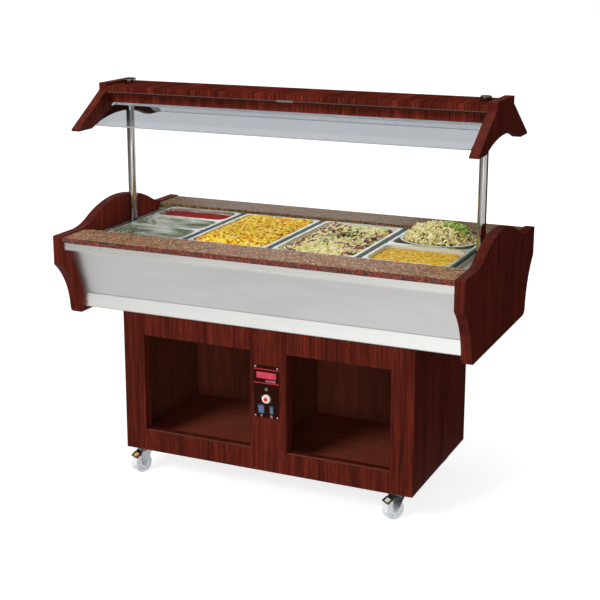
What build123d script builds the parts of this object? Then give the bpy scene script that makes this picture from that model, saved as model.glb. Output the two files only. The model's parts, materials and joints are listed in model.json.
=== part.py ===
import os
from math import acos, atan, cos, degrees, radians, sin, sqrt, tan

from build123d import *

os.makedirs("parts", exist_ok=True)

# Mobile heated buffet. Millimetres, +Z up, guests' side towards -Y.
# The origin is on the floor, at the middle of the footprint.

# Fits and joints between pieces
running_fit = 0.05
slip_fit = 0.2
moving_gap = 0.3

# Casters
caster_height = 100
caster_inset_x = 63
caster_inset_y = 40
caster_heading = {"front_left": -115, "front_right": -128, "rear_left": 0, "rear_right": 180}
wheel_diameter = 75
wheel_width = 32
wheel_hub_radius = 13
wheel_rim_depth = 13
wheel_web_recess = 6
wheel_side_play = 2
axle_radius = 4
axle_head_radius = 6.5
axle_head_length = 2
trail = 25
caster_plate_size = 60
caster_plate_thickness = 3
caster_screw_spread = 46
caster_screw_radius = 4
caster_screw_height = 3
kingpin_radius = 5
kingpin_head_radius = 8
kingpin_head_height = 2.7
crown_radius = 22
crown_height = 12.7
fork_leg_thickness = 2.5
fork_axle_boss = 10
fork_shoulder_radius = 6
fork_shoulder_back = 6
pedal_pin_radius = 2.5
pedal_pin_reach = 30
pedal_pin_drop = 18
pedal_barrel_radius = 5
pedal_width = 42
pedal_length = 33
pedal_thickness = 3
pedal_slope = 33
pedal_neck_length = 9
pedal_toe_radius = 6

# Base cabinet
base_setback = 174
base_inset = 140
base_height = 556
side_board = 25
floor_board = 46
top_board = 18
back_board = 18
face_frame_thickness = 45
niche_sill = 83
niche_head = 89
outer_stile = 88
centre_stile = 147
centre_stile_x = 23.5
lining_board = 18
service_gap = 42
partition_x = -19

# Control plate, in the centre stile
control_x = 17.5
control_height = 315
control_plate_width = 101
control_plate_length = 202
control_plate_sheet = 2
control_screw_inset = 6
control_screw_head = 3.2
control_screw_shank = 1.9
control_screw_length = 18
pocket_margin_x = 11
pocket_top = 28
pocket_bottom = 92
pocket_depth = 41
lamp_rise = 10
lamp_radius = 6.5
lamp_neck_radius = 5
lamp_neck_length = 24
dial_drop = 27
dial_radius = 16.5
dial_height = 9
dial_skirt_height = 4
dial_grip_radius = 12
spindle_radius = 3
spindle_length = 16
thermostat_width = 34
thermostat_depth = 30
rocker_drop = 67.5
wide_rocker_x = -21
wide_rocker_width = 27
wide_rocker_length = 37
narrow_rocker_x = 21
narrow_rocker_width = 17
narrow_rocker_length = 34
bezel_wall = 2.1
bezel_height = 2
rocker_tilt = 8
rocker_crest = 3.5
rocker_valley = 1.2
rocker_pivot_depth = 4
rocker_body_depth = 6
rocker_pin_radius = 1.4
rocker_pin_length = 1.4
rocker_end_room = 1.6
switch_depth = 30
switch_well_depth = 14

# Upper body
panel_thickness = 38
panel_lip = 5
panel_drop = 24
panel_rise = 5
panel_nose = 111
cove_radius = 265
cove_out = 167
panel_corner = 28
panel_top_corner = 6
hump_rise = 81
hump_foot_radius = 230
hump_crown_radius = 483
floor_sheet = 2
body_height = 274
lower_rail_height = 53
lower_rail_depth = 28
floor_lip = 9
top_rail_size = 28
granite_overhang = 7
rail_wall = 1.5
skirt_sheet = 1.6
skirt_bulge = 8
skirt_toe = 2
granite_thickness = 20
granite_depth = 162
curb_ledge = 18
granite_chamfer = 2

# Well deck and tank
sheet = 1.5
curb_rise = 6
tray_drop = 12
end_tray = 63
well_ledge = 11
well_end_room = 3.5
rim_seat = 10
tank_depth = 198
drain_inset = 48
drain_radius = 13
drain_wall = 2
drain_length = 100

# Pans and the bars between them
pan_width = 325
pan_full_length = 530
bay_count = 4
bar_width = 23
end_bar_width = 12
bar_height = 6.5
bar_wing = 9
bar_wing_sheet = 1.8
bar_gap = 0.5
pan_gap = 0.6
pan_depth = 100
pan_draft = 4
pan_wall = 1.2
pan_corner = 38
pan_bottom_radius = 14
rim_width = 11
rim_drop = 7
rim_corner = 14
rim_roll = 1

# Food
food_gap = 0.3
corn_below_rim = 9
corn_crown = 14
salad_below_rim = 9
salad_crown = 15
gratin_below_rim = 16
gratin_crown = 5
sauce_below_rim = 24
sauce_crown = 2
platter_half_width = 148
platter_half_depth = 127
platter_sheet = 2
platter_well = 12
platter_lip = 14
noodle_height = 76

# Heating element and cable gland
element_radius = 4.25
element_inset = 68
element_half_spread = 60
element_height = 24
element_bend = 18
element_tail = 16
gland_x = 430
gland_height = 110
gland_bore = 4.5
gland_thread = 10
gland_nut = 14
gland_nut_height = 6
gland_dome = 11
gland_dome_length = 14

# Posts
post_inset = 44
post_radius = 16
post_wall = 1.5
post_length = 826
post_flange_radius = 18.5
post_flange_height = 6
post_collar_radius = 23
post_collar_height = 8
post_cap_radius = 20
post_cap_height = 19
post_cap_spigot = 10
post_cap_edge = 3

# Canopy
canopy_end_gap = 7
bracket_thickness = 35
canopy_board = 23
canopy_board_depth = 220
bracket_top_rise = 11
bracket_shoulder = 27
bracket_reach = 312
bracket_tip_drop = 155
bracket_tip_height = 8
bracket_foot = 222
bracket_arch_rise = 40
bracket_edge = 3
fascia_thickness = 18
fascia_out = 72
fascia_height = 43
fascia_groove = 2
fascia_groove_depth = 4
glass_thickness = 6
glass_reach = 153
glass_fall = 67
glass_end_gap = 18
glass_lip = 24
lamp_tube_radius = 13
lamp_end_room = 155
lamp_holder_length = 22
lamp_holder_half_width = 15
lamp_drop = 23

# Heights that follow from the stack
base_bottom = caster_height
base_top = base_bottom + base_height
body_bottom = base_top + floor_sheet
granite_bottom = body_bottom + body_height
granite_top = granite_bottom + granite_thickness
lower_rail_top = body_bottom + lower_rail_height
panel_bottom = base_top - panel_drop
panel_top = granite_top + panel_rise
ledge_top = granite_bottom + curb_rise
tray_top = granite_bottom - tray_drop
rim_top = ledge_top + rim_drop
tank_bottom = ledge_top - tank_depth
post_top = body_bottom + post_length
board_bottom = post_top - canopy_board
tray_sheet_bottom = board_bottom - sheet
fascia_bottom = board_bottom - sheet - fascia_height
control_z = base_bottom + control_height

# Places across the width: the pans set the well, the well sets the body, the body sets the rest
bay_pitch = pan_width + bar_width
bay_x = [(i - (bay_count - 1) / 2) * bay_pitch for i in range(bay_count)]
well_half_width = bay_x[-1] + pan_width / 2 + well_end_room
curb_x = well_half_width + well_ledge
inner_x = curb_x + end_tray
drain_x = well_half_width - drain_inset
element_half_length = well_half_width - element_inset
base_half = inner_x - base_setback
caster_x = base_half - caster_inset_x
post_x = inner_x - post_inset
canopy_inner_x = inner_x - canopy_end_gap
glass_half_length = canopy_inner_x - glass_end_gap
lamp_tube_half_length = canopy_inner_x - lamp_end_room

# Places across the depth, from the pans outwards
well_half_depth = pan_full_length / 2 - rim_seat
curb_out = pan_full_length / 2 + curb_ledge
granite_in = curb_out
granite_out = granite_in + granite_depth
top_rail_out = granite_out - granite_overhang
panel_front = granite_out + panel_lip
base_front = base_inset - panel_front
lower_rail_out = floor_lip - base_front
caster_y = -base_front - caster_inset_y
glass_slope = glass_fall / glass_reach
glass_tilt = degrees(atan(glass_slope))
frame_back = base_front + face_frame_thickness
plate_front = base_front - control_plate_sheet


def save(piece, label):
    """Name a finished piece and write it to its own file."""
    piece.label = label
    export_step(piece, f"parts/{label}.step")


def slab(x_span, y_span, z_span):
    """A flat board, sheet or bar between three pairs of coordinates."""
    with BuildPart() as board:
        with BuildSketch(Plane.XY.offset(z_span[0])):
            with Locations(((x_span[0] + x_span[1]) / 2, (y_span[0] + y_span[1]) / 2)):
                Rectangle(x_span[1] - x_span[0], y_span[1] - y_span[0])
        extrude(amount=z_span[1] - z_span[0])
    return board.part


def group(label, pieces):
    """Keep several separate solids together in one named piece."""
    return Compound(label=label, children=pieces)


# Casters: the plate and kingpin stay on the base, the fork turns, the wheel rolls

caster_seats = {
    "front_left": (-caster_x, -caster_y, caster_heading["front_left"]),
    "front_right": (caster_x, -caster_y, caster_heading["front_right"]),
    "rear_left": (-caster_x, caster_y, caster_heading["rear_left"]),
    "rear_right": (caster_x, caster_y, caster_heading["rear_right"]),
}
crown_top = caster_height - caster_plate_thickness - moving_gap
crown_bottom = crown_top - crown_height
fork_inner = wheel_width / 2 + wheel_side_play
fork_outer = fork_inner + fork_leg_thickness
axle_z = wheel_diameter / 2
pedal_pin_z = caster_height - pedal_pin_drop


def upright_plane(seat, sideways=0):
    """Plane through a kingpin axis: local x points along the trail, local y points up."""
    x, y, heading = seat
    ahead = Vector(cos(radians(heading)), sin(radians(heading)), 0)
    side = ahead.cross(Vector(0, 0, 1))
    return Plane(origin=Vector(x, y, 0) + side * sideways, x_dir=ahead, z_dir=side)


def level_plane(seat, z):
    """Horizontal plane on a kingpin axis, turned with the trail."""
    x, y, heading = seat
    return Plane(origin=(x, y, z), x_dir=(cos(radians(heading)), sin(radians(heading)), 0))


def caster_plate(seat):
    """Screwed top plate, square to the base, with its kingpin and the riveted head that holds the fork."""
    x, y, _ = seat
    underside = Plane(origin=(x, y, caster_height - caster_plate_thickness))
    with BuildPart() as plate:
        with BuildSketch(underside):
            RectangleRounded(caster_plate_size, caster_plate_size, caster_screw_radius)
        extrude(amount=caster_plate_thickness)
        with BuildSketch(underside):
            with GridLocations(caster_screw_spread, caster_screw_spread, 2, 2):
                RegularPolygon(caster_screw_radius, 6)
        extrude(amount=-caster_screw_height)
        with BuildSketch(underside):
            Circle(kingpin_radius)
        extrude(amount=-(crown_height + 2 * moving_gap))
        with BuildSketch(Plane(origin=(x, y, crown_bottom - moving_gap))):
            Circle(kingpin_head_radius)
        extrude(amount=-kingpin_head_height)
    return plate.part


def caster_fork(seat, braked):
    """Pressed fork: a crown round the kingpin, two legs and the riveted axle."""
    with BuildPart() as fork:
        with BuildSketch(level_plane(seat, crown_bottom)):
            Circle(crown_radius)
        extrude(amount=crown_height)
        fillet(fork.edges().group_by(Axis.Z)[-1], fork_leg_thickness)
        for leg in (fork_inner, -fork_outer):
            with BuildSketch(upright_plane(seat, leg)):
                with Locations((-fork_shoulder_back, crown_bottom + fork_shoulder_radius / 2)):
                    Circle(fork_shoulder_radius)
                with Locations((pedal_pin_reach, pedal_pin_z)):
                    Circle(pedal_barrel_radius)
                with Locations((trail, axle_z)):
                    Circle(fork_axle_boss)
                make_hull()
            extrude(amount=fork_leg_thickness)
        with BuildSketch(level_plane(seat, crown_bottom)):
            Circle(kingpin_radius + running_fit)
        extrude(amount=crown_height, mode=Mode.SUBTRACT)
        with BuildSketch(upright_plane(seat, -fork_outer)):
            with Locations((trail, axle_z)):
                Circle(axle_radius)
        extrude(amount=2 * fork_outer)
        for head in (fork_outer, -fork_outer - axle_head_length):
            with BuildSketch(upright_plane(seat, head)):
                with Locations((trail, axle_z)):
                    Circle(axle_head_radius)
            extrude(amount=axle_head_length)
        if braked:
            with BuildSketch(upright_plane(seat, -fork_outer)):
                with Locations((pedal_pin_reach, pedal_pin_z)):
                    Circle(pedal_pin_radius)
            extrude(amount=2 * fork_outer)
    return fork.part


def caster_wheel(seat):
    """Moulded wheel: a round-edged tread, a recessed web and a hub bored for the axle."""
    half = wheel_width / 2
    rim_inner = axle_z - wheel_rim_depth
    hub_wall = wheel_hub_radius - axle_radius
    with BuildPart() as wheel:
        with BuildSketch(upright_plane(seat, -half)):
            with Locations((trail, axle_z)):
                Circle(axle_z)
        extrude(amount=wheel_width)
        fillet(wheel.edges(), hub_wall / 3)
        for face in (-half, half - wheel_web_recess):
            with BuildSketch(upright_plane(seat, face)):
                with Locations((trail, axle_z)):
                    Circle(rim_inner)
                    Circle(wheel_hub_radius, mode=Mode.SUBTRACT)
            extrude(amount=wheel_web_recess, mode=Mode.SUBTRACT)
        with BuildSketch(upright_plane(seat, -half)):
            with Locations((trail, axle_z)):
                Circle(axle_radius + running_fit)
        extrude(amount=wheel_width, mode=Mode.SUBTRACT)
    return wheel.part


def brake_pedal(seat):
    """Foot pedal on its pin: a barrel between the legs, a neck and a wide toe plate."""
    run = cos(radians(pedal_slope))
    fall = sin(radians(pedal_slope))
    neck_half = fork_inner - wheel_side_play / 2
    pin_point = Vector(pedal_pin_reach, pedal_pin_z)
    plate_base = pin_point + Vector(fall, run) * (pedal_barrel_radius - pedal_thickness)

    def plate_outline(start, end):
        """Corners of a stretch of the sloping plate, as distances along it."""
        low = [plate_base + Vector(run, -fall) * d for d in (start, end)]
        high = [corner + Vector(fall, run) * pedal_thickness for corner in reversed(low)]
        return [(p.X, p.Y) for p in low + high]

    with BuildPart() as pedal:
        with BuildSketch(upright_plane(seat, -neck_half)):
            with Locations((pedal_pin_reach, pedal_pin_z)):
                Circle(pedal_barrel_radius)
            with BuildLine():
                Polyline(plate_outline(0, pedal_neck_length + 1), close=True)
            make_face()
        extrude(amount=2 * neck_half)
        with BuildSketch(upright_plane(seat, -pedal_width / 2)):
            with BuildLine():
                Polyline(plate_outline(pedal_neck_length, pedal_length), close=True)
            make_face()
        extrude(amount=pedal_width)
        with BuildSketch(upright_plane(seat, -neck_half)):
            with Locations((pedal_pin_reach, pedal_pin_z)):
                Circle(pedal_pin_radius + running_fit)
        extrude(amount=2 * neck_half, mode=Mode.SUBTRACT)
    return pedal.part


save(group("caster_plates", [caster_plate(seat) for seat in caster_seats.values()]), "caster_plates")
for corner, seat in caster_seats.items():
    has_brake = corner.startswith("front")
    save(caster_fork(seat, has_brake), f"caster_fork_{corner}")
    save(caster_wheel(seat), f"caster_wheel_{corner}")
    if has_brake:
        save(brake_pedal(seat), f"brake_pedal_{corner}")


# Base cabinet of veneered boards

cabinet_x = base_half - side_board
floor_top = base_bottom + floor_board
top_underside = base_top - top_board
back_inner = -base_front - back_board
lining_front = back_inner - service_gap - lining_board
gland_z = base_bottom + gland_height

save(slab((-base_half, -cabinet_x), (frame_back, -base_front), (base_bottom, base_top)), "base_left_side")
save(slab((cabinet_x, base_half), (frame_back, -base_front), (base_bottom, base_top)), "base_right_side")
save(slab((-cabinet_x, cabinet_x), (frame_back, -base_front), (base_bottom, floor_top)), "base_floor")
save(slab((-cabinet_x, cabinet_x), (frame_back, back_inner), (top_underside, base_top)), "base_top")

with BuildPart() as base_back:
    with BuildSketch(Plane.XZ.offset(-back_inner)):
        with Locations((0, (floor_top + base_top) / 2)):
            Rectangle(2 * cabinet_x, base_top - floor_top)
        with Locations((gland_x, gland_z)):
            Circle(gland_thread + running_fit, mode=Mode.SUBTRACT)
    extrude(amount=-back_board)
save(base_back.part, "base_back")

lining_back = slab((-cabinet_x, cabinet_x), (lining_front, lining_front + lining_board),
                   (floor_top, top_underside))
partition = slab((partition_x - lining_board / 2, partition_x + lining_board / 2),
                 (frame_back, lining_front), (floor_top, top_underside))
save(group("niche_lining", [lining_back, partition]), "niche_lining")

niche_bottom = base_bottom + niche_sill
niche_top = base_top - niche_head
niche_spans = [
    (-base_half + outer_stile, centre_stile_x - centre_stile / 2),
    (centre_stile_x + centre_stile / 2, base_half - outer_stile),
]
pocket_half = control_plate_width / 2 - pocket_margin_x
pocket_span = (control_z - pocket_bottom, control_z + pocket_top)
control_screw_x = control_plate_width / 2 - control_screw_inset
control_screw_z = control_plate_length / 2 - control_screw_inset

with BuildPart() as face_frame:
    with BuildSketch(Plane.XZ.offset(-frame_back)):
        with Locations((0, (base_bottom + base_top) / 2)):
            Rectangle(2 * base_half, base_height)
        for left, right in niche_spans:
            with Locations(((left + right) / 2, (niche_bottom + niche_top) / 2)):
                Rectangle(right - left, niche_top - niche_bottom, mode=Mode.SUBTRACT)
    extrude(amount=face_frame_thickness)
    with BuildSketch(Plane.XZ.offset(-base_front)):
        with Locations((control_x, sum(pocket_span) / 2)):
            Rectangle(2 * pocket_half, pocket_span[1] - pocket_span[0])
    extrude(amount=-pocket_depth, mode=Mode.SUBTRACT)
    with BuildSketch(Plane.XZ.offset(-base_front)):
        with Locations((control_x, control_z)):
            with GridLocations(2 * control_screw_x, 2 * control_screw_z, 2, 2):
                Circle(control_screw_shank)
    extrude(amount=-(control_screw_length - control_plate_sheet), mode=Mode.SUBTRACT)
save(face_frame.part, "base_front_frame")


# Control plate and what it carries

lamp_z = control_z + lamp_rise
dial_z = control_z - dial_drop
rocker_z = control_z - rocker_drop
rockers = {
    "wide_rocker": (control_x + wide_rocker_x, wide_rocker_width, wide_rocker_length),
    "narrow_rocker": (control_x + narrow_rocker_x, narrow_rocker_width, narrow_rocker_length),
}


def switch_body_size(width, length):
    """Width and length of a switch body behind its bezel."""
    return width - bezel_wall, length - bezel_wall


with BuildPart() as control_plate:
    with BuildSketch(Plane.XZ.offset(-base_front)):
        with Locations((control_x, control_z)):
            Rectangle(control_plate_width, control_plate_length)
            with GridLocations(2 * control_screw_x, 2 * control_screw_z, 2, 2):
                Circle(control_screw_shank + slip_fit, mode=Mode.SUBTRACT)
        with Locations((control_x, lamp_z)):
            Circle(lamp_neck_radius + slip_fit, mode=Mode.SUBTRACT)
        with Locations((control_x, dial_z)):
            Circle(spindle_radius + moving_gap, mode=Mode.SUBTRACT)
        for x, width, length in rockers.values():
            body_width_x, body_length_z = switch_body_size(width, length)
            with Locations((x, rocker_z)):
                Rectangle(body_width_x + slip_fit, body_length_z + slip_fit, mode=Mode.SUBTRACT)
    extrude(amount=control_plate_sheet)
save(control_plate.part, "control_plate")

with BuildPart() as control_screws:
    with BuildSketch(Plane.XZ.offset(-plate_front)):
        with Locations((control_x, control_z)):
            with GridLocations(2 * control_screw_x, 2 * control_screw_z, 2, 2):
                Circle(control_screw_head)
    extrude(amount=control_screw_shank)
    fillet(control_screws.edges().group_by(Axis.Y)[0], control_screw_shank / 2)
    with BuildSketch(Plane.XZ.offset(-plate_front)):
        with Locations((control_x, control_z)):
            with GridLocations(2 * control_screw_x, 2 * control_screw_z, 2, 2):
                Circle(control_screw_shank)
    extrude(amount=-control_screw_length)
save(control_screws.part, "control_screws")

with BuildPart() as pilot_lamp:
    with BuildSketch(Plane.XZ.offset(-plate_front)):
        with Locations((control_x, lamp_z)):
            Circle(lamp_radius)
    extrude(amount=lamp_radius / 2)
    fillet(pilot_lamp.edges().group_by(Axis.Y)[0], lamp_radius / 3)
    with BuildSketch(Plane.XZ.offset(-plate_front)):
        with Locations((control_x, lamp_z)):
            Circle(lamp_neck_radius)
    extrude(amount=-lamp_neck_length)
save(pilot_lamp.part, "pilot_lamp")


def thermostat():
    """Thermostat can behind the plate, bored for the dial's spindle."""
    with BuildPart() as can:
        with BuildSketch(Plane.XZ.offset(-base_front)):
            with Locations((control_x, dial_z)):
                RectangleRounded(thermostat_width, thermostat_width, spindle_radius)
        extrude(amount=-thermostat_depth)
        with BuildSketch(Plane.XZ.offset(-base_front)):
            with Locations((control_x, dial_z)):
                Circle(spindle_radius + running_fit)
        extrude(amount=-spindle_length, mode=Mode.SUBTRACT)
    return can.part


def switch_body(x, width, length):
    """Switch housing: a bezel over the plate and a body with a well for its rocker."""
    body_width_x, body_length_z = switch_body_size(width, length)
    with BuildPart() as housing:
        with BuildSketch(Plane.XZ.offset(-plate_front)):
            with Locations((x, rocker_z)):
                RectangleRounded(width, length, bezel_height)
        extrude(amount=bezel_height)
        with BuildSketch(Plane.XZ.offset(-plate_front)):
            with Locations((x, rocker_z)):
                Rectangle(body_width_x, body_length_z)
        extrude(amount=-switch_depth)
        with BuildSketch(Plane.XZ.offset(-plate_front + bezel_height)):
            with Locations((x, rocker_z)):
                Rectangle(width - 2 * bezel_wall, length - 2 * bezel_wall)
        extrude(amount=-(switch_well_depth + bezel_height), mode=Mode.SUBTRACT)
        pin_half = width / 2 - bezel_wall + rocker_pin_length
        with BuildSketch(Plane.YZ.offset(x - pin_half)):
            with Locations((plate_front + rocker_pivot_depth, rocker_z)):
                Circle(rocker_pin_radius + running_fit)
        extrude(amount=2 * pin_half, mode=Mode.SUBTRACT)
    return housing.part


save(group("control_bodies", [thermostat()] + [switch_body(*rocker) for rocker in rockers.values()]),
     "control_bodies")

with BuildPart() as thermostat_knob:
    with BuildSketch(Plane.XZ.offset(-plate_front + moving_gap)):
        with Locations((control_x, dial_z)):
            Circle(dial_radius)
    extrude(amount=dial_skirt_height)
    with BuildSketch(Plane.XZ.offset(-plate_front + moving_gap)):
        with Locations((control_x, dial_z)):
            Circle(dial_grip_radius)
    extrude(amount=dial_height, taper=pan_draft)
    fillet(thermostat_knob.edges().group_by(Axis.Y)[0], moving_gap * 3)
    with BuildSketch(Plane.XZ.offset(-plate_front + moving_gap)):
        with Locations((control_x, dial_z)):
            Circle(spindle_radius)
    extrude(amount=-(control_plate_sheet + spindle_length - moving_gap))
save(thermostat_knob.part, "thermostat_knob")


def rocker(x, width, length):
    """Rocker cap on two small pins, resting with its lower half pressed in."""
    half_width = width / 2 - bezel_wall - moving_gap
    half_length = length / 2 - bezel_wall - rocker_end_room
    pivot = Vector(plate_front + rocker_pivot_depth, rocker_z)
    crest = -(rocker_pivot_depth + rocker_crest)
    valley = -(rocker_pivot_depth + rocker_valley)
    back = rocker_body_depth - rocker_pivot_depth
    corners = [(crest, half_length), (valley, 0), (crest, -half_length), (back, -half_length),
               (back, half_length)]
    turned = [pivot + Vector(u, v).rotate(Axis.Z, rocker_tilt) for u, v in corners]
    with BuildPart() as cap:
        with BuildSketch(Plane.YZ.offset(x - half_width)):
            with BuildLine():
                Polyline([(point.X, point.Y) for point in turned], close=True)
            make_face()
        extrude(amount=2 * half_width)
        pin_half = half_width + rocker_pin_length
        with BuildSketch(Plane.YZ.offset(x - pin_half)):
            with Locations((pivot.X, pivot.Y)):
                Circle(rocker_pin_radius)
        extrude(amount=2 * pin_half)
    return cap.part


for name, place in rockers.items():
    save(rocker(*place), name)


# End panels: one half outline, mirrored front to back

def cove_point(z):
    """Point of the cove at a height, on the rear half of the outline."""
    rise = z - (panel_top - panel_nose - sqrt(cove_radius ** 2 - cove_out ** 2))
    return panel_front + cove_out - sqrt(cove_radius ** 2 - rise ** 2), z


def end_panel(x):
    """Curved end panel: a coved underside, a flat shelf end and a low hump on top."""
    nose_z = panel_top - panel_nose
    hump_angle = acos(1 - hump_rise / (hump_foot_radius + hump_crown_radius))
    hump_run = (hump_foot_radius + hump_crown_radius) * sin(hump_angle)

    def foot_point(angle):
        return (hump_run - hump_foot_radius * sin(angle), panel_top + hump_foot_radius * (1 - cos(angle)))

    def crown_point(angle):
        peak = panel_top + hump_rise
        return (hump_crown_radius * sin(angle), peak - hump_crown_radius * (1 - cos(angle)))

    with BuildPart() as panel:
        with BuildSketch(Plane.YZ.offset(x)):
            with BuildLine():
                Line((0, panel_bottom), cove_point(panel_bottom))
                ThreePointArc(cove_point(panel_bottom), cove_point((panel_bottom + nose_z) / 2),
                              (panel_front, nose_z))
                Line((panel_front, nose_z), (panel_front, panel_top))
                Line((panel_front, panel_top), (hump_run, panel_top))
                ThreePointArc((hump_run, panel_top), foot_point(hump_angle / 2), foot_point(hump_angle))
                ThreePointArc(foot_point(hump_angle), crown_point(hump_angle / 2), crown_point(0))
                Line(crown_point(0), (0, panel_bottom))
            make_face()
            mirror(about=Plane.YZ)
        extrude(amount=panel_thickness)
        fillet(panel.edges().filter_by(Axis.X).group_by(Axis.Z)[0].sort_by(Axis.Y)[-1], panel_corner)
        fillet(panel.edges().filter_by(Axis.X).group_by(Axis.Z)[0].sort_by(Axis.Y)[0], panel_corner)
        top_corners = panel.edges().filter_by(Axis.X).filter_by_position(Axis.Z, panel_top - 1, panel_top + 1)
        fillet(top_corners.sort_by(Axis.Y)[-1], panel_top_corner)
        top_corners = panel.edges().filter_by(Axis.X).filter_by_position(Axis.Z, panel_top - 1, panel_top + 1)
        fillet(top_corners.sort_by(Axis.Y)[0], panel_top_corner)
    return panel.part


save(end_panel(-inner_x - panel_thickness), "end_panel_left")
save(end_panel(inner_x), "end_panel_right")


# Steel rails, coved skirts and granite shelves, alike on the two long sides

skirt_top_out = top_rail_out - top_rail_size
skirt_foot_out = lower_rail_out - skirt_toe
top_rail_bottom = granite_bottom - top_rail_size


def hollow_rail(side, outer, depth, bottom, height):
    """Folded steel rail between the end panels."""
    middle = side * (outer - depth / 2)
    with BuildPart() as rail:
        with BuildSketch(Plane.YZ.offset(-inner_x)):
            with Locations((middle, bottom + height / 2)):
                Rectangle(depth, height)
                Rectangle(depth - 2 * rail_wall, height - 2 * rail_wall, mode=Mode.SUBTRACT)
        extrude(amount=2 * inner_x)
    return rail.part


def skirt(side):
    """Bent steel sheet from behind the top rail down to the lower rail."""
    def outside(inset):
        top = (side * (skirt_top_out - inset), granite_bottom - sheet)
        bend = (side * (skirt_top_out - inset), top_rail_bottom)
        foot = (side * (skirt_foot_out - inset), lower_rail_top)
        return top, bend, foot

    top, bend, foot = outside(0)
    inner_top, inner_bend, inner_foot = outside(skirt_sheet)
    with BuildPart() as piece:
        with BuildSketch(Plane.YZ.offset(-inner_x)):
            with BuildLine():
                Line(top, bend)
                SagittaArc(bend, foot, -side * skirt_bulge)
                Line(foot, inner_foot)
                SagittaArc(inner_foot, inner_bend, side * skirt_bulge)
                Line(inner_bend, inner_top)
                Line(inner_top, top)
            make_face()
        extrude(amount=2 * inner_x)
    return piece.part


def granite_shelf(side):
    """Granite serving ledge with a fine chamfer along its outer top edge."""
    span = sorted((side * granite_in, side * granite_out))
    with BuildPart() as shelf:
        add(slab((-inner_x, inner_x), span, (granite_bottom, granite_top)))
        outer_edge = shelf.edges().filter_by(Axis.X).group_by(Axis.Z)[-1].sort_by(Axis.Y)
        chamfer(outer_edge[-1] if side > 0 else outer_edge[0], granite_chamfer)
    return shelf.part


save(group("top_rails", [hollow_rail(side, top_rail_out, top_rail_size, top_rail_bottom, top_rail_size)
                         for side in (-1, 1)]), "top_rails")
save(group("lower_rails", [hollow_rail(side, lower_rail_out, lower_rail_depth, body_bottom,
                                       lower_rail_height) for side in (-1, 1)]), "lower_rails")
for side, facing in ((-1, "front"), (1, "rear")):
    save(skirt(side), f"{facing}_skirt")
    save(granite_shelf(side), f"granite_{facing}")

with BuildPart() as body_floor:
    with BuildSketch(Plane.XY.offset(base_top)):
        Rectangle(2 * inner_x, 2 * lower_rail_out)
        with Locations((drain_x, 0)):
            Circle(drain_radius + slip_fit, mode=Mode.SUBTRACT)
    extrude(amount=floor_sheet)
save(body_floor.part, "body_floor")


# Well deck: one pressed sheet with a raised curb round the well and a low tray at each end

curb_wall_in = curb_out - sheet

with BuildPart() as well_deck:
    with BuildSketch(Plane.XY.offset(granite_bottom - sheet)):
        Rectangle(2 * inner_x, 2 * skirt_top_out)
        Rectangle(2 * inner_x, 2 * curb_wall_in, mode=Mode.SUBTRACT)
    extrude(amount=sheet)
    with BuildSketch(Plane.XY.offset(tray_top - sheet)):
        Rectangle(2 * curb_x, 2 * curb_out)
        Rectangle(2 * (curb_x - sheet), 2 * curb_wall_in, mode=Mode.SUBTRACT)
    extrude(amount=ledge_top - tray_top + sheet)
    with BuildSketch(Plane.XY.offset(ledge_top - sheet)):
        Rectangle(2 * curb_x, 2 * curb_out)
        Rectangle(2 * well_half_width, 2 * well_half_depth, mode=Mode.SUBTRACT)
    extrude(amount=sheet)
    for side in (-1, 1):
        with BuildSketch(Plane.XY.offset(tray_top - sheet)):
            with Locations((side * (curb_x - sheet + inner_x) / 2, 0)):
                Rectangle(inner_x - curb_x + sheet, 2 * curb_out)
            with Locations((side * post_x, 0)):
                Circle(post_radius + running_fit, mode=Mode.SUBTRACT)
        extrude(amount=sheet)
        with BuildSketch(Plane.XY.offset(tray_top - sheet)):
            with Locations((side * (curb_x - sheet + inner_x) / 2, 0)):
                Rectangle(inner_x - curb_x + sheet, 2 * curb_out)
                Rectangle(inner_x - curb_x + sheet, 2 * curb_wall_in, mode=Mode.SUBTRACT)
        extrude(amount=granite_bottom - tray_top + sheet)
save(well_deck.part, "well_deck")

with BuildPart() as well_tank:
    with BuildSketch(Plane.XY.offset(tank_bottom)):
        Rectangle(2 * (well_half_width + sheet), 2 * (well_half_depth + sheet))
    extrude(amount=ledge_top - sheet - tank_bottom)
    with BuildSketch(Plane.XY.offset(tank_bottom + sheet)):
        Rectangle(2 * well_half_width, 2 * well_half_depth)
    extrude(amount=ledge_top - tank_bottom, mode=Mode.SUBTRACT)
    with BuildSketch(Plane.XY.offset(tank_bottom)):
        with Locations((drain_x, 0)):
            Circle(drain_radius)
    extrude(amount=-drain_length)
    with BuildSketch(Plane.XY.offset(tank_bottom + sheet)):
        with Locations((drain_x, 0)):
            Circle(drain_radius - drain_wall)
    extrude(amount=-(drain_length + sheet), mode=Mode.SUBTRACT)
    with BuildSketch(Plane.XY.offset(tank_bottom)):
        with Locations((-element_half_length, 0)):
            with GridLocations(0, 2 * element_half_spread, 1, 2):
                Circle(element_radius + running_fit)
    extrude(amount=sheet, mode=Mode.SUBTRACT)
save(well_tank.part, "well_tank")

element_z = tank_bottom + sheet + element_height
with BuildPart() as heating_element:
    with BuildLine() as element_path:
        FilletPolyline(
            (-element_half_length, element_half_spread, tank_bottom - element_tail),
            (-element_half_length, element_half_spread, element_z),
            (element_half_length, element_half_spread, element_z),
            (element_half_length, -element_half_spread, element_z),
            (-element_half_length, -element_half_spread, element_z),
            (-element_half_length, -element_half_spread, tank_bottom - element_tail),
            radius=element_bend,
        )
    with BuildSketch(Plane.XY.offset(tank_bottom - element_tail)):
        with Locations((-element_half_length, element_half_spread)):
            Circle(element_radius)
    sweep(path=element_path.wires()[0])
save(heating_element.part, "heating_element")

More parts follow.
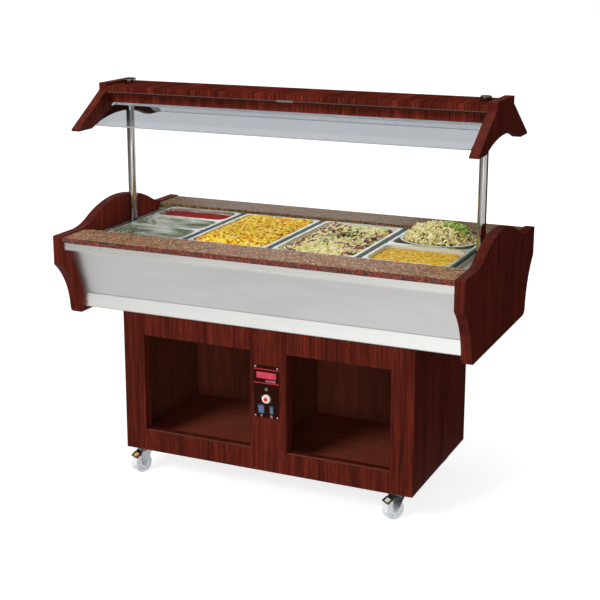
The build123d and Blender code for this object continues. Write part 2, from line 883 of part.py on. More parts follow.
with BuildPart() as cord_gland:
    with BuildSketch(Plane.XZ.offset(base_front)):
        with Locations((gland_x, gland_z)):
            RegularPolygon(gland_nut, 6)
    extrude(amount=-gland_nut_height)
    with BuildSketch(Plane.XZ.offset(base_front - gland_nut_height)):
        with Locations((gland_x, gland_z)):
            Circle(gland_dome)
    extrude(amount=-gland_dome_length)
    fillet(cord_gland.edges().group_by(Axis.Y)[-1], gland_dome / 3)
    with BuildSketch(Plane.XZ.offset(base_front)):
        with Locations((gland_x, gland_z)):
            Circle(gland_thread)
    extrude(amount=back_board + gland_nut_height)
    with BuildSketch(Plane.XZ.offset(-back_inner)):
        with Locations((gland_x, gland_z)):
            RegularPolygon(gland_nut, 6)
    extrude(amount=gland_nut_height)
    with BuildSketch(Plane.XZ.offset(-back_inner + gland_nut_height)):
        with Locations((gland_x, gland_z)):
            Circle(gland_bore)
    extrude(amount=-(2 * gland_nut_height + back_board + gland_dome_length), mode=Mode.SUBTRACT)
save(cord_gland.part, "cord_gland")


# Divider bars: a rib between the pans, with wings under their rims

def divider_bar(x, rib_width):
    """Bar across the well, with wings under the pans' rims wherever the well is open."""
    wing_reach = rib_width / 2 + bar_wing
    wing_limit = well_half_width - moving_gap
    left = max(x - wing_reach, -wing_limit)
    right = min(x + wing_reach, wing_limit)
    with BuildPart() as bar:
        with BuildSketch(Plane.XY.offset(ledge_top)):
            with Locations((x, 0)):
                Rectangle(rib_width, pan_full_length)
        extrude(amount=bar_height)
        fillet(bar.edges().filter_by(Axis.Y).group_by(Axis.Z)[-1], rim_roll)
        with BuildSketch(Plane.XY.offset(ledge_top - bar_wing_sheet)):
            with Locations(((left + right) / 2, 0)):
                Rectangle(right - left, 2 * (well_half_depth - moving_gap))
        extrude(amount=bar_wing_sheet)
    return bar.part


inner_bars = [(left + right) / 2 for left, right in zip(bay_x, bay_x[1:])]
end_bar_x = bay_x[-1] + pan_width / 2 + bar_gap + end_bar_width / 2
bars = [divider_bar(x, bar_width - 2 * bar_gap) for x in inner_bars]
bars += [divider_bar(side * end_bar_x, end_bar_width) for side in (-1, 1)]
save(group("divider_bars", bars), "divider_bars")


# Pans and their food

def drafted(x, y, width, length, corner, top, depth):
    """Drafted block with round corners and a round bottom edge, widest at its top."""
    with BuildPart() as block:
        with BuildSketch(Plane.XY.offset(top)):
            with Locations((x, y)):
                RectangleRounded(width, length, corner)
        extrude(amount=-depth, taper=pan_draft)
        fillet(block.edges().group_by(Axis.Z)[0], pan_bottom_radius)
    return block.part


def pan(x, y, length):
    """Pressed steel pan: a drafted tray with a flat rim turned down at its edge."""
    mouth_width = pan_width - 2 * rim_width
    mouth_length = length - 2 * rim_width
    hollow_inset = 2 * pan_wall
    with BuildPart() as tray:
        add(drafted(x, y, mouth_width, mouth_length, pan_corner, rim_top, pan_depth))
        with BuildSketch(Plane.XY.offset(rim_top)):
            with Locations((x, y)):
                RectangleRounded(pan_width, length, rim_corner)
        extrude(amount=-pan_wall)
        with BuildSketch(Plane.XY.offset(rim_top)):
            with Locations((x, y)):
                RectangleRounded(pan_width, length, rim_corner)
                RectangleRounded(pan_width - 2 * pan_wall, length - 2 * pan_wall, rim_corner - pan_wall,
                                 mode=Mode.SUBTRACT)
        extrude(amount=-rim_drop)
        outline = tray.faces().group_by(Axis.Z)[-1].sort_by(SortBy.AREA)[-1].outer_wire()
        fillet(outline.edges(), rim_roll)
        add(drafted(x, y, mouth_width - hollow_inset, mouth_length - hollow_inset, pan_corner - pan_wall,
                    rim_top, pan_depth - pan_wall), mode=Mode.SUBTRACT)
    return tray.part


def food_size(full, below_rim):
    """Width or length of the food inside a pan at a depth below the rim."""
    return full - 2 * (rim_width + pan_wall + below_rim * tan(radians(pan_draft)) + food_gap)


def food(x, y, length, below_rim, crown):
    """Food that fills a pan from its floor to a level, with a low crown."""
    width = food_size(pan_width, below_rim)
    depth = food_size(length, below_rim)
    corner = pan_corner - below_rim * tan(radians(pan_draft)) - pan_wall
    level = rim_top - below_rim
    with BuildPart() as fill:
        add(drafted(x, y, width, depth, corner, level, pan_depth - below_rim - pan_wall - food_gap))
        with BuildSketch(Plane.XY.offset(level)):
            with Locations((x, y)):
                RectangleRounded(width, depth, corner)
        extrude(amount=crown, taper=degrees(atan(corner / 2 / crown)))
    return fill.part


third_pitch = pan_full_length / 3
half_pitch = pan_full_length / 2
third_length = third_pitch - pan_gap
half_length = half_pitch - pan_gap
pans = {
    "pan_third_front": (bay_x[0], -third_pitch, third_length),
    "pan_third_middle": (bay_x[0], 0, third_length),
    "pan_third_rear": (bay_x[0], third_pitch, third_length),
    "pan_corn": (bay_x[1], 0, pan_full_length),
    "pan_salad": (bay_x[2], 0, pan_full_length),
    "pan_half_front": (bay_x[3], -half_pitch / 2, half_length),
    "pan_half_rear": (bay_x[3], half_pitch / 2, half_length),
}
for name, place in pans.items():
    save(pan(*place), name)

save(food(*pans["pan_third_rear"], sauce_below_rim, sauce_crown), "sauce_fill")
save(food(*pans["pan_corn"], corn_below_rim, corn_crown), "corn_fill")
save(food(*pans["pan_salad"], salad_below_rim, salad_crown), "salad_fill")
save(food(*pans["pan_half_front"], gratin_below_rim, gratin_crown), "gratin_fill")


def platter_dish():
    """Oval dish that hangs in the rear half pan by its lip."""
    x, y, _ = pans["pan_half_rear"]
    with BuildPart() as dish:
        with BuildSketch(Plane.XY.offset(rim_top)):
            with Locations((x, y)):
                Ellipse(platter_half_width, platter_half_depth)
        extrude(amount=platter_sheet)
        with BuildSketch(Plane.XY.offset(rim_top)):
            with Locations((x, y)):
                Ellipse(platter_half_width - platter_lip, platter_half_depth - platter_lip)
        extrude(amount=-platter_well)
        with BuildSketch(Plane.XY.offset(rim_top + platter_sheet)):
            with Locations((x, y)):
                Ellipse(platter_half_width - platter_lip - platter_sheet,
                        platter_half_depth - platter_lip - platter_sheet)
        extrude(amount=-platter_well, mode=Mode.SUBTRACT)
    return dish.part


def noodle_heap():
    """Heap of noodles: oval slices that narrow towards the top."""
    x, y, _ = pans["pan_half_rear"]
    base = rim_top + 2 * platter_sheet - platter_well + food_gap
    wide = platter_half_width - platter_lip - platter_sheet - food_gap
    deep = platter_half_depth - platter_lip - platter_sheet - food_gap
    slices = [(0, 1.0), (platter_well / noodle_height, 1.0), (0.5, 0.86), (0.8, 0.56), (1.0, 0.16)]
    with BuildPart() as heap:
        for height, share in slices:
            with BuildSketch(Plane.XY.offset(base + height * noodle_height)):
                with Locations((x, y)):
                    Ellipse(wide * share, deep * share)
        loft(ruled=True)
    return heap.part


save(group("noodle_platter", [platter_dish(), noodle_heap()]), "noodle_platter")


# Posts that carry the canopy

def post(side):
    """Steel tube from the body floor, through the deck tray, to the top of the canopy."""
    with BuildPart() as tube:
        with BuildSketch(Plane.XY.offset(body_bottom)):
            with Locations((side * post_x, 0)):
                Circle(post_radius)
                Circle(post_radius - post_wall, mode=Mode.SUBTRACT)
        extrude(amount=post_length)
    return tube.part


def post_ring(side, radius, bottom, height):
    """Collar pressed round a post."""
    with BuildPart() as ring:
        with BuildSketch(Plane.XY.offset(bottom)):
            with Locations((side * post_x, 0)):
                Circle(radius)
        extrude(amount=height)
        fillet(ring.edges(), post_wall)
        with BuildSketch(Plane.XY.offset(bottom)):
            with Locations((side * post_x, 0)):
                Circle(post_radius + running_fit)
        extrude(amount=height, mode=Mode.SUBTRACT)
    return ring.part


def post_cap(side):
    """Turned cap with a plug that drops into the tube."""
    with BuildPart() as cap:
        with BuildSketch(Plane.XY.offset(post_top)):
            with Locations((side * post_x, 0)):
                Circle(post_cap_radius)
        extrude(amount=post_cap_height)
        fillet(cap.edges().group_by(Axis.Z)[-1], post_cap_edge)
        with BuildSketch(Plane.XY.offset(post_top)):
            with Locations((side * post_x, 0)):
                Circle(post_radius - post_wall - running_fit)
        extrude(amount=-post_cap_spigot)
    return cap.part


fittings = []
for side in (-1, 1):
    fittings.append(post_ring(side, post_flange_radius, tray_top, post_flange_height))
    fittings.append(post_ring(side, post_collar_radius, tray_sheet_bottom - post_collar_height,
                              post_collar_height))
    fittings.append(post_cap(side))
save(group("posts", [post(side) for side in (-1, 1)]), "posts")
save(group("post_fittings", fittings), "post_fittings")


# Canopy: a top board on a steel tray, two fascias, two brackets and two glass panes

board_half = canopy_board_depth / 2
wall_out = fascia_out - fascia_thickness
bracket_top = post_top + bracket_top_rise
bracket_tip = bracket_top - bracket_tip_drop


def glass_top(out):
    """Height of the upper face of a glass pane at a distance from the middle."""
    return fascia_bottom - (out - fascia_out) * glass_slope


def glass_under(out):
    """Height of the lower face of a glass pane."""
    return glass_top(out) - glass_thickness / cos(radians(glass_tilt))


def canopy_bracket(x):
    """Curved wooden end bracket with sloping shoulders and an arched underside."""
    foot_z = bracket_tip - bracket_tip_height
    half = [
        (board_half, bracket_top),
        (board_half, bracket_top - bracket_shoulder),
        (bracket_reach, bracket_tip),
        (bracket_reach, foot_z),
        (bracket_foot, foot_z),
    ]
    with BuildPart() as bracket:
        with BuildSketch(Plane.YZ.offset(x)):
            with BuildLine():
                Polyline([(-out, z) for out, z in reversed(half)] + half)
                ThreePointArc(half[-1], (0, foot_z + bracket_arch_rise), (-bracket_foot, foot_z))
            make_face()
        extrude(amount=bracket_thickness)
        fillet(bracket.edges().filter_by(Axis.X).group_by(Axis.Z)[-1], bracket_edge)
    return bracket.part


save(canopy_bracket(-canopy_inner_x - bracket_thickness), "canopy_bracket_left")
save(canopy_bracket(canopy_inner_x), "canopy_bracket_right")

with BuildPart() as canopy_top:
    with BuildSketch(Plane.XY.offset(board_bottom)):
        Rectangle(2 * canopy_inner_x, canopy_board_depth)
        with Locations((-post_x, 0), (post_x, 0)):
            Circle(post_radius + running_fit, mode=Mode.SUBTRACT)
    extrude(amount=canopy_board)
save(canopy_top.part, "canopy_top")

with BuildPart() as canopy_tray:
    with BuildSketch(Plane.YZ.offset(-canopy_inner_x)):
        with BuildLine():
            lip_out = wall_out + glass_lip
            Polyline(
                (0, board_bottom), (board_half, board_bottom), (board_half, tray_sheet_bottom),
                (wall_out, tray_sheet_bottom), (wall_out, glass_under(wall_out)),
                (lip_out, glass_under(lip_out)), (lip_out, glass_under(lip_out) - sheet),
                (wall_out - sheet, glass_under(wall_out - sheet) - sheet),
                (wall_out - sheet, tray_sheet_bottom), (0, tray_sheet_bottom), close=True,
            )
        make_face()
        mirror(about=Plane.YZ)
    extrude(amount=2 * canopy_inner_x)
    with BuildSketch(Plane.XY.offset(tray_sheet_bottom)):
        with Locations((-post_x, 0), (post_x, 0)):
            Circle(post_radius + running_fit)
    extrude(amount=sheet, mode=Mode.SUBTRACT)
    for side in (-1, 1):
        with BuildSketch(Plane.XY.offset(tray_sheet_bottom)):
            with Locations((side * (lamp_tube_half_length + lamp_holder_length / 2), 0)):
                Rectangle(lamp_holder_length, 2 * lamp_holder_half_width)
        extrude(amount=-(lamp_drop + lamp_tube_radius))
save(canopy_tray.part, "canopy_tray")


def fascia(side):
    """Wooden fascia with a groove under the tray and its lower edge bevelled to the glass."""
    points = [
        (wall_out, tray_sheet_bottom), (fascia_out - fascia_groove_depth, tray_sheet_bottom),
        (fascia_out - fascia_groove_depth, tray_sheet_bottom - fascia_groove),
        (fascia_out, tray_sheet_bottom - fascia_groove), (fascia_out, glass_top(fascia_out)),
        (wall_out, glass_top(wall_out)),
    ]
    with BuildPart() as board:
        with BuildSketch(Plane.YZ.offset(-canopy_inner_x)):
            with BuildLine():
                Polyline([(side * out, z) for out, z in points], close=True)
            make_face()
        extrude(amount=2 * canopy_inner_x)
    return board.part


def glass_pane(side):
    """Sloping glass pane, clamped between the fascia and the tray's lip."""
    edge = fascia_out + glass_reach
    tilt = radians(glass_tilt)
    points = [
        (wall_out, glass_top(wall_out)), (edge, glass_top(edge)),
        (edge - glass_thickness * sin(tilt), glass_top(edge) - glass_thickness * cos(tilt)),
        (wall_out, glass_under(wall_out)),
    ]
    with BuildPart() as pane:
        with BuildSketch(Plane.YZ.offset(-glass_half_length)):
            with BuildLine():
                Polyline([(side * out, z) for out, z in points], close=True)
            make_face()
        extrude(amount=2 * glass_half_length)
    return pane.part


save(group("canopy_fascias", [fascia(side) for side in (-1, 1)]), "canopy_fascias")
save(group("glass_panes", [glass_pane(side) for side in (-1, 1)]), "glass_panes")

with BuildPart() as lamp_tube:
    with BuildSketch(Plane.YZ.offset(-lamp_tube_half_length)):
        with Locations((0, tray_sheet_bottom - lamp_drop)):
            Circle(lamp_tube_radius)
    extrude(amount=2 * lamp_tube_half_length)
save(lamp_tube.part, "lamp_tube")
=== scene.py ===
"""Finished look of a wheeled self-service buffet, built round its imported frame."""

import json
import logging
import math
import random
from abc import ABC, abstractmethod
from collections.abc import Callable, Sequence
from dataclasses import dataclass, field
from enum import Enum
from functools import cache, partial
from itertools import pairwise
from typing import Any

import bmesh
import bpy
import numpy as np
from bpy.types import Material, MeshPolygon, Node, NodeTree, Object
from mathutils import Matrix, Vector, noise

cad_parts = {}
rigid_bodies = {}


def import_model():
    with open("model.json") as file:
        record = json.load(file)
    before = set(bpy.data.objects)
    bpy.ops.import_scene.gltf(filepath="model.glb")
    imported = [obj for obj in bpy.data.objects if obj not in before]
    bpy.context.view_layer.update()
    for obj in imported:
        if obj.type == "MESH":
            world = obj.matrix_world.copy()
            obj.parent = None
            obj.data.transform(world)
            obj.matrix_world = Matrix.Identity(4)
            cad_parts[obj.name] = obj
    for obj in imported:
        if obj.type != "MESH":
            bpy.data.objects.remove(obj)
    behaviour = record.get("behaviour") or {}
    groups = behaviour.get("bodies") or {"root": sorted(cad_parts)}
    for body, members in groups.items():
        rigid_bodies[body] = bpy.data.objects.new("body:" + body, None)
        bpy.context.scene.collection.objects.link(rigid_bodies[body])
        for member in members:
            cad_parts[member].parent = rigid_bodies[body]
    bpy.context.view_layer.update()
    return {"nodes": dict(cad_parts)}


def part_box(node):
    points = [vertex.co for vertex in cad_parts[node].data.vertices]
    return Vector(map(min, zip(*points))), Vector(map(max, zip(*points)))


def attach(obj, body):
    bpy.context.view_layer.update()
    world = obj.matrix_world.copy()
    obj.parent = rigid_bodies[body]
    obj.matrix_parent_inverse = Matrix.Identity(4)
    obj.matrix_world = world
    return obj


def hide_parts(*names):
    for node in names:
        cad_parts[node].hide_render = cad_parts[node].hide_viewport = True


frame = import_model()

LOG = logging.getLogger("buffet")
MM = 0.001
CREASE_DEGREES = 35.0
MERGE_DISTANCE = 2e-6
WHITE = (1.0, 1.0, 1.0, 1.0)
FLAT_DEGREES = 0.6
Colour = tuple[float, float, float, float]


def linear(hex_colour: str) -> Colour:
    """Turn an sRGB hex colour into linear values.

    Args:
        hex_colour: A colour such as "#8a3020".

    Returns:
        Red, green, blue and alpha as linear numbers.
    """
    channels = [int(hex_colour[i:i + 2], 16) / 255 for i in (1, 3, 5)]
    red, green, blue = (c / 12.92 if c <= 0.04045 else ((c + 0.055) / 1.055) ** 2.4 for c in channels)
    return red, green, blue, 1.0


def add_node(tree: NodeTree, kind: str, links: dict[str | int, Any] | None = None,
             stops: Sequence[tuple[float, str]] = (), stepped: bool = False,
             **settings: Any) -> Node:
    """Add a node with its settings, its values and its links.

    Args:
        tree: The node tree that takes the node.
        kind: Blender's name of the node type.
        links: Input name or number to a value, or to (node, output) that feeds it.
        stops: Places and hex colours of a colour ramp.
        stepped: True for a ramp that jumps from colour to colour.
        settings: Properties of the node.

    Returns:
        The new node.
    """
    made = tree.nodes.new(kind)
    for name, value in settings.items():
        setattr(made, name, value)
    for socket, source in (links or {}).items():
        if isinstance(source, tuple) and isinstance(source[0], Node):
            tree.links.new(source[0].outputs[source[1]], made.inputs[socket])
        else:
            made.inputs[socket].default_value = source
    if stops:
        ramp = made.color_ramp.elements
        while len(ramp) < len(stops):
            ramp.new(0.5)
        for element, (place, colour) in zip(ramp, stops):
            element.position = place
            element.color = linear(colour)
    if stepped:
        made.color_ramp.interpolation = "CONSTANT"
    return made


def new_surface(name: str, **values: Any) -> tuple[Material, NodeTree, Node]:
    """Start a material with a Principled shader.

    Args:
        name: The material's name.
        values: Shader inputs by name, with underscores for spaces.

    Returns:
        The material, its node tree and the shader node.
    """
    material = bpy.data.materials.new(name)
    material.use_nodes = True
    shader = material.node_tree.nodes["Principled BSDF"]
    for socket, value in values.items():
        shader.inputs[socket.replace("_", " ")].default_value = value
    return material, material.node_tree, shader


def bare_material(name: str) -> tuple[Material, NodeTree]:
    """Start a material of the studio with an empty node tree.

    Args:
        name: The material's name.

    Returns:
        The material and its node tree.
    """
    material = bpy.data.materials.new(name)
    material.use_nodes = True
    material.node_tree.nodes.clear()
    return material, material.node_tree


class Grain(Enum):
    """Directions in which a pattern runs long."""

    ALONG_X = (0,)
    ALONG_Y = (1,)
    UPRIGHT = (2,)
    OVER_FRONT = (1, 2)


def stretched(tree: NodeTree, grain: Grain, across_mm: float, along_mm: float) -> Node:
    """Object coordinates scaled so that one noise cell has a real size.

    Args:
        tree: The node tree.
        grain: The direction of the long side of a cell.
        across_mm: Cell size across the grain.
        along_mm: Cell size along the grain.

    Returns:
        The mapping node.
    """
    scale = [1 / (across_mm * MM)] * 3
    for axis in grain.value:
        scale[axis] = 1 / (along_mm * MM)
    place = add_node(tree, "ShaderNodeTexCoord")
    return add_node(tree, "ShaderNodeMapping", {"Vector": (place, "Object"), "Scale": scale})


# Least part of a face's normal that lies along an axis for the face to look that way.
FACING = 0.45


def outward_share(tree: NodeTree, axis: int) -> Node:
    """Measure how far a face looks away from the buffet's middle along an axis.

    Args:
        tree: The node tree.
        axis: 0 for X, 1 for Y and 2 for Z.

    Returns:
        The node that gives 1 for a face that looks straight outward and -1 for one that looks inward.
    """
    spot = add_node(tree, "ShaderNodeSeparateXYZ", {0: (add_node(tree, "ShaderNodeTexCoord"), "Object")})
    geometry = add_node(tree, "ShaderNodeNewGeometry")
    facing = add_node(tree, "ShaderNodeSeparateXYZ", {0: (geometry, "Normal")})
    side = add_node(tree, "ShaderNodeMath", {0: (spot, axis)}, operation="SIGN")
    return add_node(tree, "ShaderNodeMath", {0: (facing, axis), 1: (side, 0)}, operation="MULTIPLY")


@dataclass(frozen=True)
class Veneer:
    """Mahogany veneer, stained and sprayed with satin lacquer: fine dark streaks under a soft sheen.

    Real pores are about 0.2 mm wide. They are drawn 1.8 mm wide, the finest that shows at this distance.
    """

    name: str
    grain: Grain
    dark: str = "#33100b"
    middle: str = "#521d14"
    light: str = "#70291c"
    streak_mm: tuple[float, float] = (4.0, 150.0)
    band_mm: tuple[float, float] = (30.0, 600.0)
    band_share: float = 0.35
    tone_at: tuple[float, float, float] = (0.36, 0.5, 0.64)
    pore_mm: tuple[float, float] = (1.8, 26.0)
    pore_at: tuple[float, float] = (0.55, 0.7)
    pore_share: float = 0.6
    pore_colour: str = "#240d08"
    pore_depth_mm: float = 0.2
    relief: float = 0.12
    # Colours for the faces that look toward the middle, which are painted light and shade.
    inward: tuple[str, ...] = ()
    roughness: tuple[float, float] = (0.32, 0.5)
    gloss: float = 0.03

    def inner_colour(self, tree: NodeTree, grain: Node,
                     outer: Node) -> Node:
        """Give other colours to the faces that look toward the buffet's middle: painted light and shade on
        those faces.

        Args:
            tree: The node tree.
            grain: The grain pattern.
            outer: The colour of all other faces.

        Returns:
            The node that mixes both.
        """
        inner = add_node(tree, "ShaderNodeValToRGB", {0: (grain, 0)},
                         stops=list(zip(self.tone_at, self.inward)))
        outward = outward_share(tree, 0)
        within = add_node(tree, "ShaderNodeMath", {0: (outward, 0), 1: -FACING}, operation="LESS_THAN")
        return add_node(tree, "ShaderNodeMix", {0: (within, 0), 6: (outer, 0), 7: (inner, 0)},
                        data_type="RGBA")

    @cache
    def material(self) -> Material:
        """Build the material.

        Returns:
            The veneer.
        """
        made, tree, shader = new_surface(self.name, Specular_IOR_Level=self.gloss)
        streaks = add_node(tree, "ShaderNodeTexNoise", {
            "Vector": (stretched(tree, self.grain, *self.streak_mm), 0), "Scale": 1.0, "Detail": 5.0,
            "Roughness": 0.62, "Distortion": 0.25})
        bands = add_node(tree, "ShaderNodeTexNoise", {
            "Vector": (stretched(tree, self.grain, *self.band_mm), 0), "Scale": 1.0, "Detail": 3.0})
        pores = add_node(tree, "ShaderNodeTexNoise", {
            "Vector": (stretched(tree, self.grain, *self.pore_mm), 0), "Scale": 1.0, "Detail": 2.0})
        grain = add_node(tree, "ShaderNodeMix", {0: self.band_share, 2: (streaks, 0), 3: (bands, 0)},
                         data_type="FLOAT")
        colour = add_node(tree, "ShaderNodeValToRGB", {0: (grain, 0)},
                          stops=list(zip(self.tone_at, (self.dark, self.middle, self.light))))
        pits = add_node(tree, "ShaderNodeMapRange", {
            "Value": (pores, 0), "From Min": self.pore_at[0], "From Max": self.pore_at[1],
            "To Min": 0.0, "To Max": self.pore_share})
        face = (self.inner_colour(tree, grain, colour), 2) if self.inward else (colour, 0)
        pored = add_node(tree, "ShaderNodeMix", {0: (pits, 0), 6: face, 7: linear(self.pore_colour)},
                         data_type="RGBA")
        sheen = add_node(tree, "ShaderNodeMapRange", {
            "Value": (streaks, 0), "To Min": self.roughness[0], "To Max": self.roughness[1]})
        dents = add_node(tree, "ShaderNodeBump", {
            "Height": (pits, 0), "Strength": self.relief, "Distance": self.pore_depth_mm * MM}, invert=True)
        tree.links.new(pored.outputs[2], shader.inputs["Base Color"])
        tree.links.new(sheen.outputs[0], shader.inputs["Roughness"])
        tree.links.new(dents.outputs[0], shader.inputs["Normal"])
        return made


@dataclass(frozen=True)
class Steel:
    """Steel sheet or tube, brushed, blasted, drawn or plated: grey metal with lines along its grain.

    Real brushing lines are under 0.1 mm wide. They are drawn 0.9 mm wide or wider, the finest that shows at
    this distance. A metallic value under 1 stands for a skin so finely scratched that it scatters light too.
    """

    name: str
    dark: str
    light: str
    grain: Grain = Grain.ALONG_X
    line_mm: tuple[float, float] = (0.9, 240.0)
    cloud_mm: tuple[float, float] = (60.0, 260.0)
    cloud_share: float = 0.5
    spread: float = 0.15
    roughness: tuple[float, float] = (0.26, 0.4)
    roughness_at: tuple[float, float] = (0.3, 0.7)
    relief: float = 0.05
    line_depth_mm: float = 0.1
    metal: float = 1.0
    gloss: float = 0.5

    @cache
    def material(self) -> Material:
        """Build the material.

        Returns:
            The steel.
        """
        made, tree, shader = new_surface(self.name, Metallic=self.metal, Specular_IOR_Level=self.gloss)
        lines = add_node(tree, "ShaderNodeTexNoise", {
            "Vector": (stretched(tree, self.grain, *self.line_mm), 0), "Scale": 1.0, "Detail": 3.0,
            "Roughness": 0.6})
        clouds = add_node(tree, "ShaderNodeTexNoise", {
            "Vector": (stretched(tree, self.grain, *self.cloud_mm), 0), "Scale": 1.0, "Detail": 2.0})
        both = add_node(tree, "ShaderNodeMix", {0: self.cloud_share, 2: (lines, 0), 3: (clouds, 0)},
                        data_type="FLOAT")
        colour = add_node(tree, "ShaderNodeValToRGB", {0: (both, 0)}, stops=[
            (0.5 - self.spread, self.dark), (0.5 + self.spread, self.light)])
        sheen = add_node(tree, "ShaderNodeMapRange", {
            "Value": (both, 0), "From Min": self.roughness_at[0], "From Max": self.roughness_at[1],
            "To Min": self.roughness[0], "To Max": self.roughness[1]})
        ridges = add_node(tree, "ShaderNodeBump", {
            "Height": (lines, 0), "Strength": self.relief, "Distance": self.line_depth_mm * MM})
        tree.links.new(colour.outputs[0], shader.inputs["Base Color"])
        tree.links.new(sheen.outputs[0], shader.inputs["Roughness"])
        tree.links.new(ridges.outputs[0], shader.inputs["Normal"])
        return made


@dataclass(frozen=True)
class Granite:
    """Polished granite: grains of brown, rose, grey and black, darker and redder on the faces that look
    outward along Y.

    Real grains are 2 to 5 mm wide. They are drawn 4 to 6.5 mm wide, so that each one shows at this distance.
    """

    name: str
    grains: tuple[str, ...] = ("#6c482a", "#a0673e", "#b9865a", "#7c7256", "#cbb08c")
    flecks: tuple[str, ...] = ("#261e19", "#963f29", "#7a5b42")
    cut_grains: tuple[str, ...] = ("#3a3030", "#7c3124", "#523a38", "#98442f", "#5a504c")
    grain_mm: float = 6.5
    fleck_mm: float = 4.0
    fleck_share: float = 0.36
    cloud_mm: float = 26.0
    cloud_at: tuple[float, float] = (0.35, 0.65)
    cloud_tone: tuple[float, float] = (0.8, 1.12)
    roughness: float = 0.34
    gloss: float = 0.06

    def steps(self, colours: Sequence[str]) -> list[tuple[float, str]]:
        """Places on a stepped ramp that give each colour the same share of the grains."""
        return [(i / len(colours), colour) for i, colour in enumerate(colours)]

    @cache
    def material(self) -> Material:
        """Build the material.

        Returns:
            The granite.
        """
        made, tree, shader = new_surface(
            self.name, Roughness=self.roughness, Specular_IOR_Level=self.gloss)
        shares = []
        for size in (self.grain_mm, self.fleck_mm):
            cells = add_node(tree, "ShaderNodeTexVoronoi", {
                "Vector": (stretched(tree, Grain.ALONG_X, size, size), 0), "Scale": 1.0})
            shares.append(add_node(tree, "ShaderNodeSeparateColor", {0: (cells, "Color")}))
        coarse, fine = shares
        cloud = add_node(tree, "ShaderNodeTexNoise", {
            "Vector": (stretched(tree, Grain.ALONG_X, self.cloud_mm, self.cloud_mm), 0), "Scale": 1.0,
            "Detail": 3.0})
        grains = add_node(tree, "ShaderNodeValToRGB", {0: (coarse, 0)}, self.steps(self.grains), stepped=True)
        flecks = add_node(tree, "ShaderNodeValToRGB", {0: (fine, 0)}, self.steps(self.flecks), stepped=True)
        cut_grains = add_node(tree, "ShaderNodeValToRGB", {0: (fine, 0)}, self.steps(self.cut_grains),
                              stepped=True)
        shown = add_node(tree, "ShaderNodeMath", {0: (fine, 1), 1: self.fleck_share}, operation="LESS_THAN")
        mixed = add_node(tree, "ShaderNodeMix", {0: (shown, 0), 6: (grains, 0), 7: (flecks, 0)},
                         data_type="RGBA")
        outward = outward_share(tree, 1)
        cut = add_node(tree, "ShaderNodeMath", {0: (outward, 0), 1: FACING}, operation="GREATER_THAN")
        both = add_node(tree, "ShaderNodeMix", {0: (cut, 0), 6: (mixed, 2), 7: (cut_grains, 0)},
                        data_type="RGBA")
        tone = add_node(tree, "ShaderNodeMapRange", {
            "Value": (cloud, 0), "From Min": self.cloud_at[0], "From Max": self.cloud_at[1],
            "To Min": self.cloud_tone[0], "To Max": self.cloud_tone[1]})
        final = add_node(tree, "ShaderNodeVectorMath", {0: (both, 2), 1: (tone, 0)}, operation="MULTIPLY")
        tree.links.new(final.outputs[0], shader.inputs["Base Color"])
        return made


@dataclass(frozen=True)
class Plastic:
    """Moulded plastic or sprayed paint: one colour, faintly mottled, with an orange-peel skin.

    The skin's waves are 1.6 mm apart, coarser than on most sprayed paint, so that they show at this distance.
    """

    name: str
    colour: str
    shade: str
    roughness: float = 0.35
    mottle_mm: float = 9.0
    mottle_at: tuple[float, float] = (0.35, 0.65)
    skin_mm: float = 1.6
    skin_depth_mm: float = 0.2
    relief: float = 0.06
    glow: float = 0.0
    gloss: float = 0.35

    @cache
    def material(self) -> Material:
        """Build the material.

        Returns:
            The plastic.
        """
        made, tree, shader = new_surface(
            self.name, Roughness=self.roughness, Specular_IOR_Level=self.gloss,
            Emission_Strength=self.glow, Emission_Color=linear(self.colour))
        mottle = add_node(tree, "ShaderNodeTexNoise", {
            "Vector": (stretched(tree, Grain.ALONG_X, self.mottle_mm, self.mottle_mm), 0), "Scale": 1.0,
            "Detail": 4.0})
        skin = add_node(tree, "ShaderNodeTexNoise", {
            "Vector": (stretched(tree, Grain.ALONG_X, self.skin_mm, self.skin_mm), 0), "Scale": 1.0})
        colour = add_node(tree, "ShaderNodeValToRGB", {0: (mottle, 0)},
                          stops=list(zip(self.mottle_at, (self.shade, self.colour))))
        ridges = add_node(tree, "ShaderNodeBump", {
            "Height": (skin, 0), "Strength": self.relief, "Distance": self.skin_depth_mm * MM})
        tree.links.new(colour.outputs[0], shader.inputs["Base Color"])
        tree.links.new(ridges.outputs[0], shader.inputs["Normal"])
        return made


@dataclass(frozen=True)
class Glass:
    """Toughened float glass, tinted grey: it dims what stands behind it and mirrors a little.

    Real glass has an IOR of about 1.5. It is matched down to 1.2, because the pane mirrors very little.
    """

    name: str
    tint: str = "#abafb4"
    ior: float = 1.2
    film_mm: tuple[float, float] = (80.0, 400.0)
    roughness: tuple[float, float] = (0.01, 0.03)

    @cache
    def material(self) -> Material:
        """Build the material.

        Returns:
            The glass.
        """
        made, tree, shader = new_surface(
            self.name, Base_Color=linear(self.tint), IOR=self.ior, Transmission_Weight=1.0)
        film = add_node(tree, "ShaderNodeTexNoise", {
            "Vector": (stretched(tree, Grain.ALONG_X, *self.film_mm), 0), "Scale": 1.0, "Detail": 2.0})
        haze = add_node(tree, "ShaderNodeMapRange", {
            "Value": (film, 0), "To Min": self.roughness[0], "To Max": self.roughness[1]})
        tree.links.new(haze.outputs[0], shader.inputs["Roughness"])
        return made


